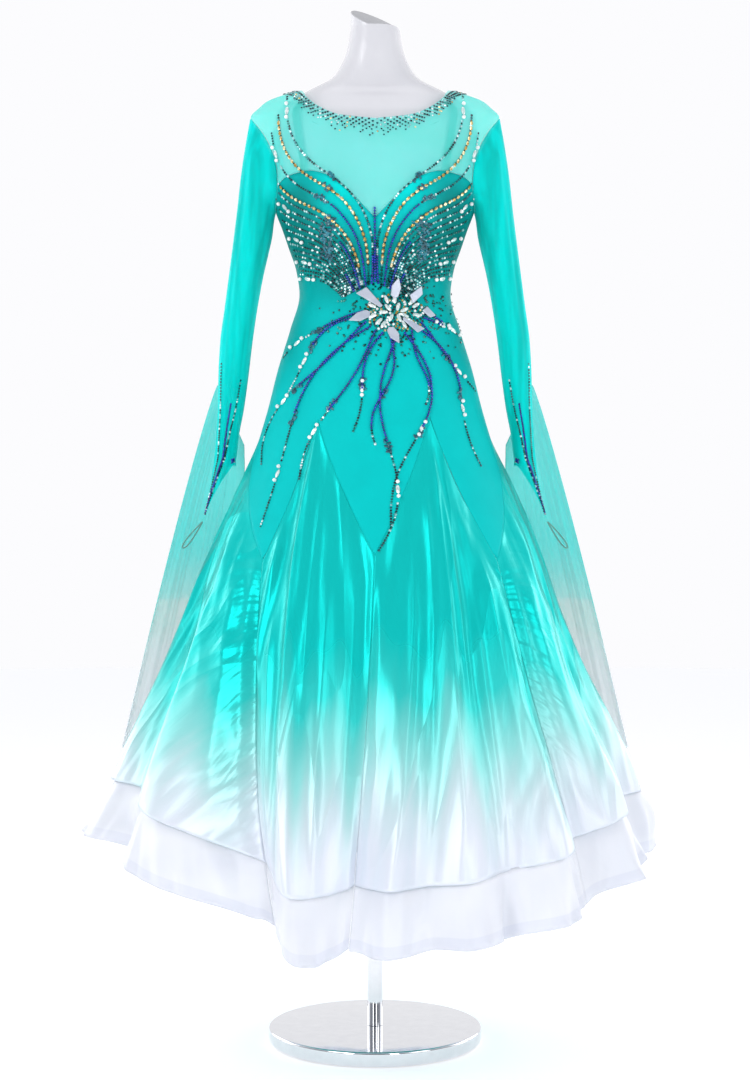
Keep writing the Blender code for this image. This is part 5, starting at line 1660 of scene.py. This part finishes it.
for jewel in JEWELS:
    made, tree, shader = finish(jewel.finish)
    cells = node(tree, "TexVoronoi", Scale=250.0, Vector=node(tree, "TexCoord").outputs["Object"])
    split = node(tree, "SeparateColor", Color=cells.outputs["Color"])
    tint = ramp(tree, split.outputs["Red"], [(0.52, jewel.dark), (0.62, jewel.bright)])
    set_shader(tree, shader, Base_Color=tint, Metallic=jewel.metallic, Roughness=jewel.roughness)
    set_shader(tree, shader, Coat_Weight=0.6, Coat_Roughness=0.04)
    points, faces, start = [], [], 0
    for part_points, part_faces in jewels[jewel.kind]:
        points.append(part_points)
        faces += [[k + start for k in face] for face in part_faces]
        start += len(part_points)
    sharp = 80 if jewel.kind in SMOOTH_KINDS else 20
    piece = mesh_piece("beadwork_" + jewel.kind, np.concatenate(points), faces, made, sharp)
    ride_on_frame(piece, "mirror_stone")

# ---------------------------------------------------------------- brooch stones
# Seven flat mirror stones of foiled glass, each with its edges ground to a narrow bevel. Their
# grey-lavender is a painted reflection of the room, laid on as their colour. They stand on the beads'
# backing at the waist.

STONE_BEVEL = 0.0008
glass, tree, shader = finish("grey_lavender_mirror_glass")
place = node(tree, "TexCoord").outputs["Object"]
cloudy = node(tree, "TexNoise", Scale=45.0, Detail=2.0, Vector=place)
# Painted reflection: the room's grey-lavender, as the mirror would show it, is the base colour here.
tint = ramp(tree, cloudy.outputs["Fac"], [(0.3, "#b4bccd"), (0.7, "#c8cedb")])
set_shader(tree, shader, Base_Color=tint, Metallic=0.15, Roughness=0.30, Coat_Weight=0.5, Coat_Roughness=0.10)

for number in range(1, 8):
    cut = bpy.data.objects[f"brooch_stone_{number}"]
    stone = bpy.data.objects.new(f"mirror_stone_{number}", cut.data.copy())
    bpy.context.scene.collection.objects.link(stone)
    shape = bmesh.new()
    shape.from_mesh(stone.data)
    bmesh.ops.remove_doubles(shape, verts=shape.verts[:], dist=0.00001)
    bmesh.ops.dissolve_limit(shape, angle_limit=np.radians(2), verts=shape.verts[:], edges=shape.edges[:])
    bmesh.ops.recalc_face_normals(shape, faces=shape.faces[:])
    shape.to_mesh(stone.data)
    shape.free()
    stone.data.materials.clear()
    stone.data.materials.append(glass)
    edge = stone.modifiers.new("ground_edge", "BEVEL")
    edge.width = STONE_BEVEL
    edge.segments = 1
    ride_on_frame(stone, "mirror_stone", cut.name)

boxes = {"cad": cad_box, "visual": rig.bounds()}
with open("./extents.json", "w") as sizes:
    json.dump({name: [list(corner) for corner in box] for name, box in boxes.items()}, sizes)
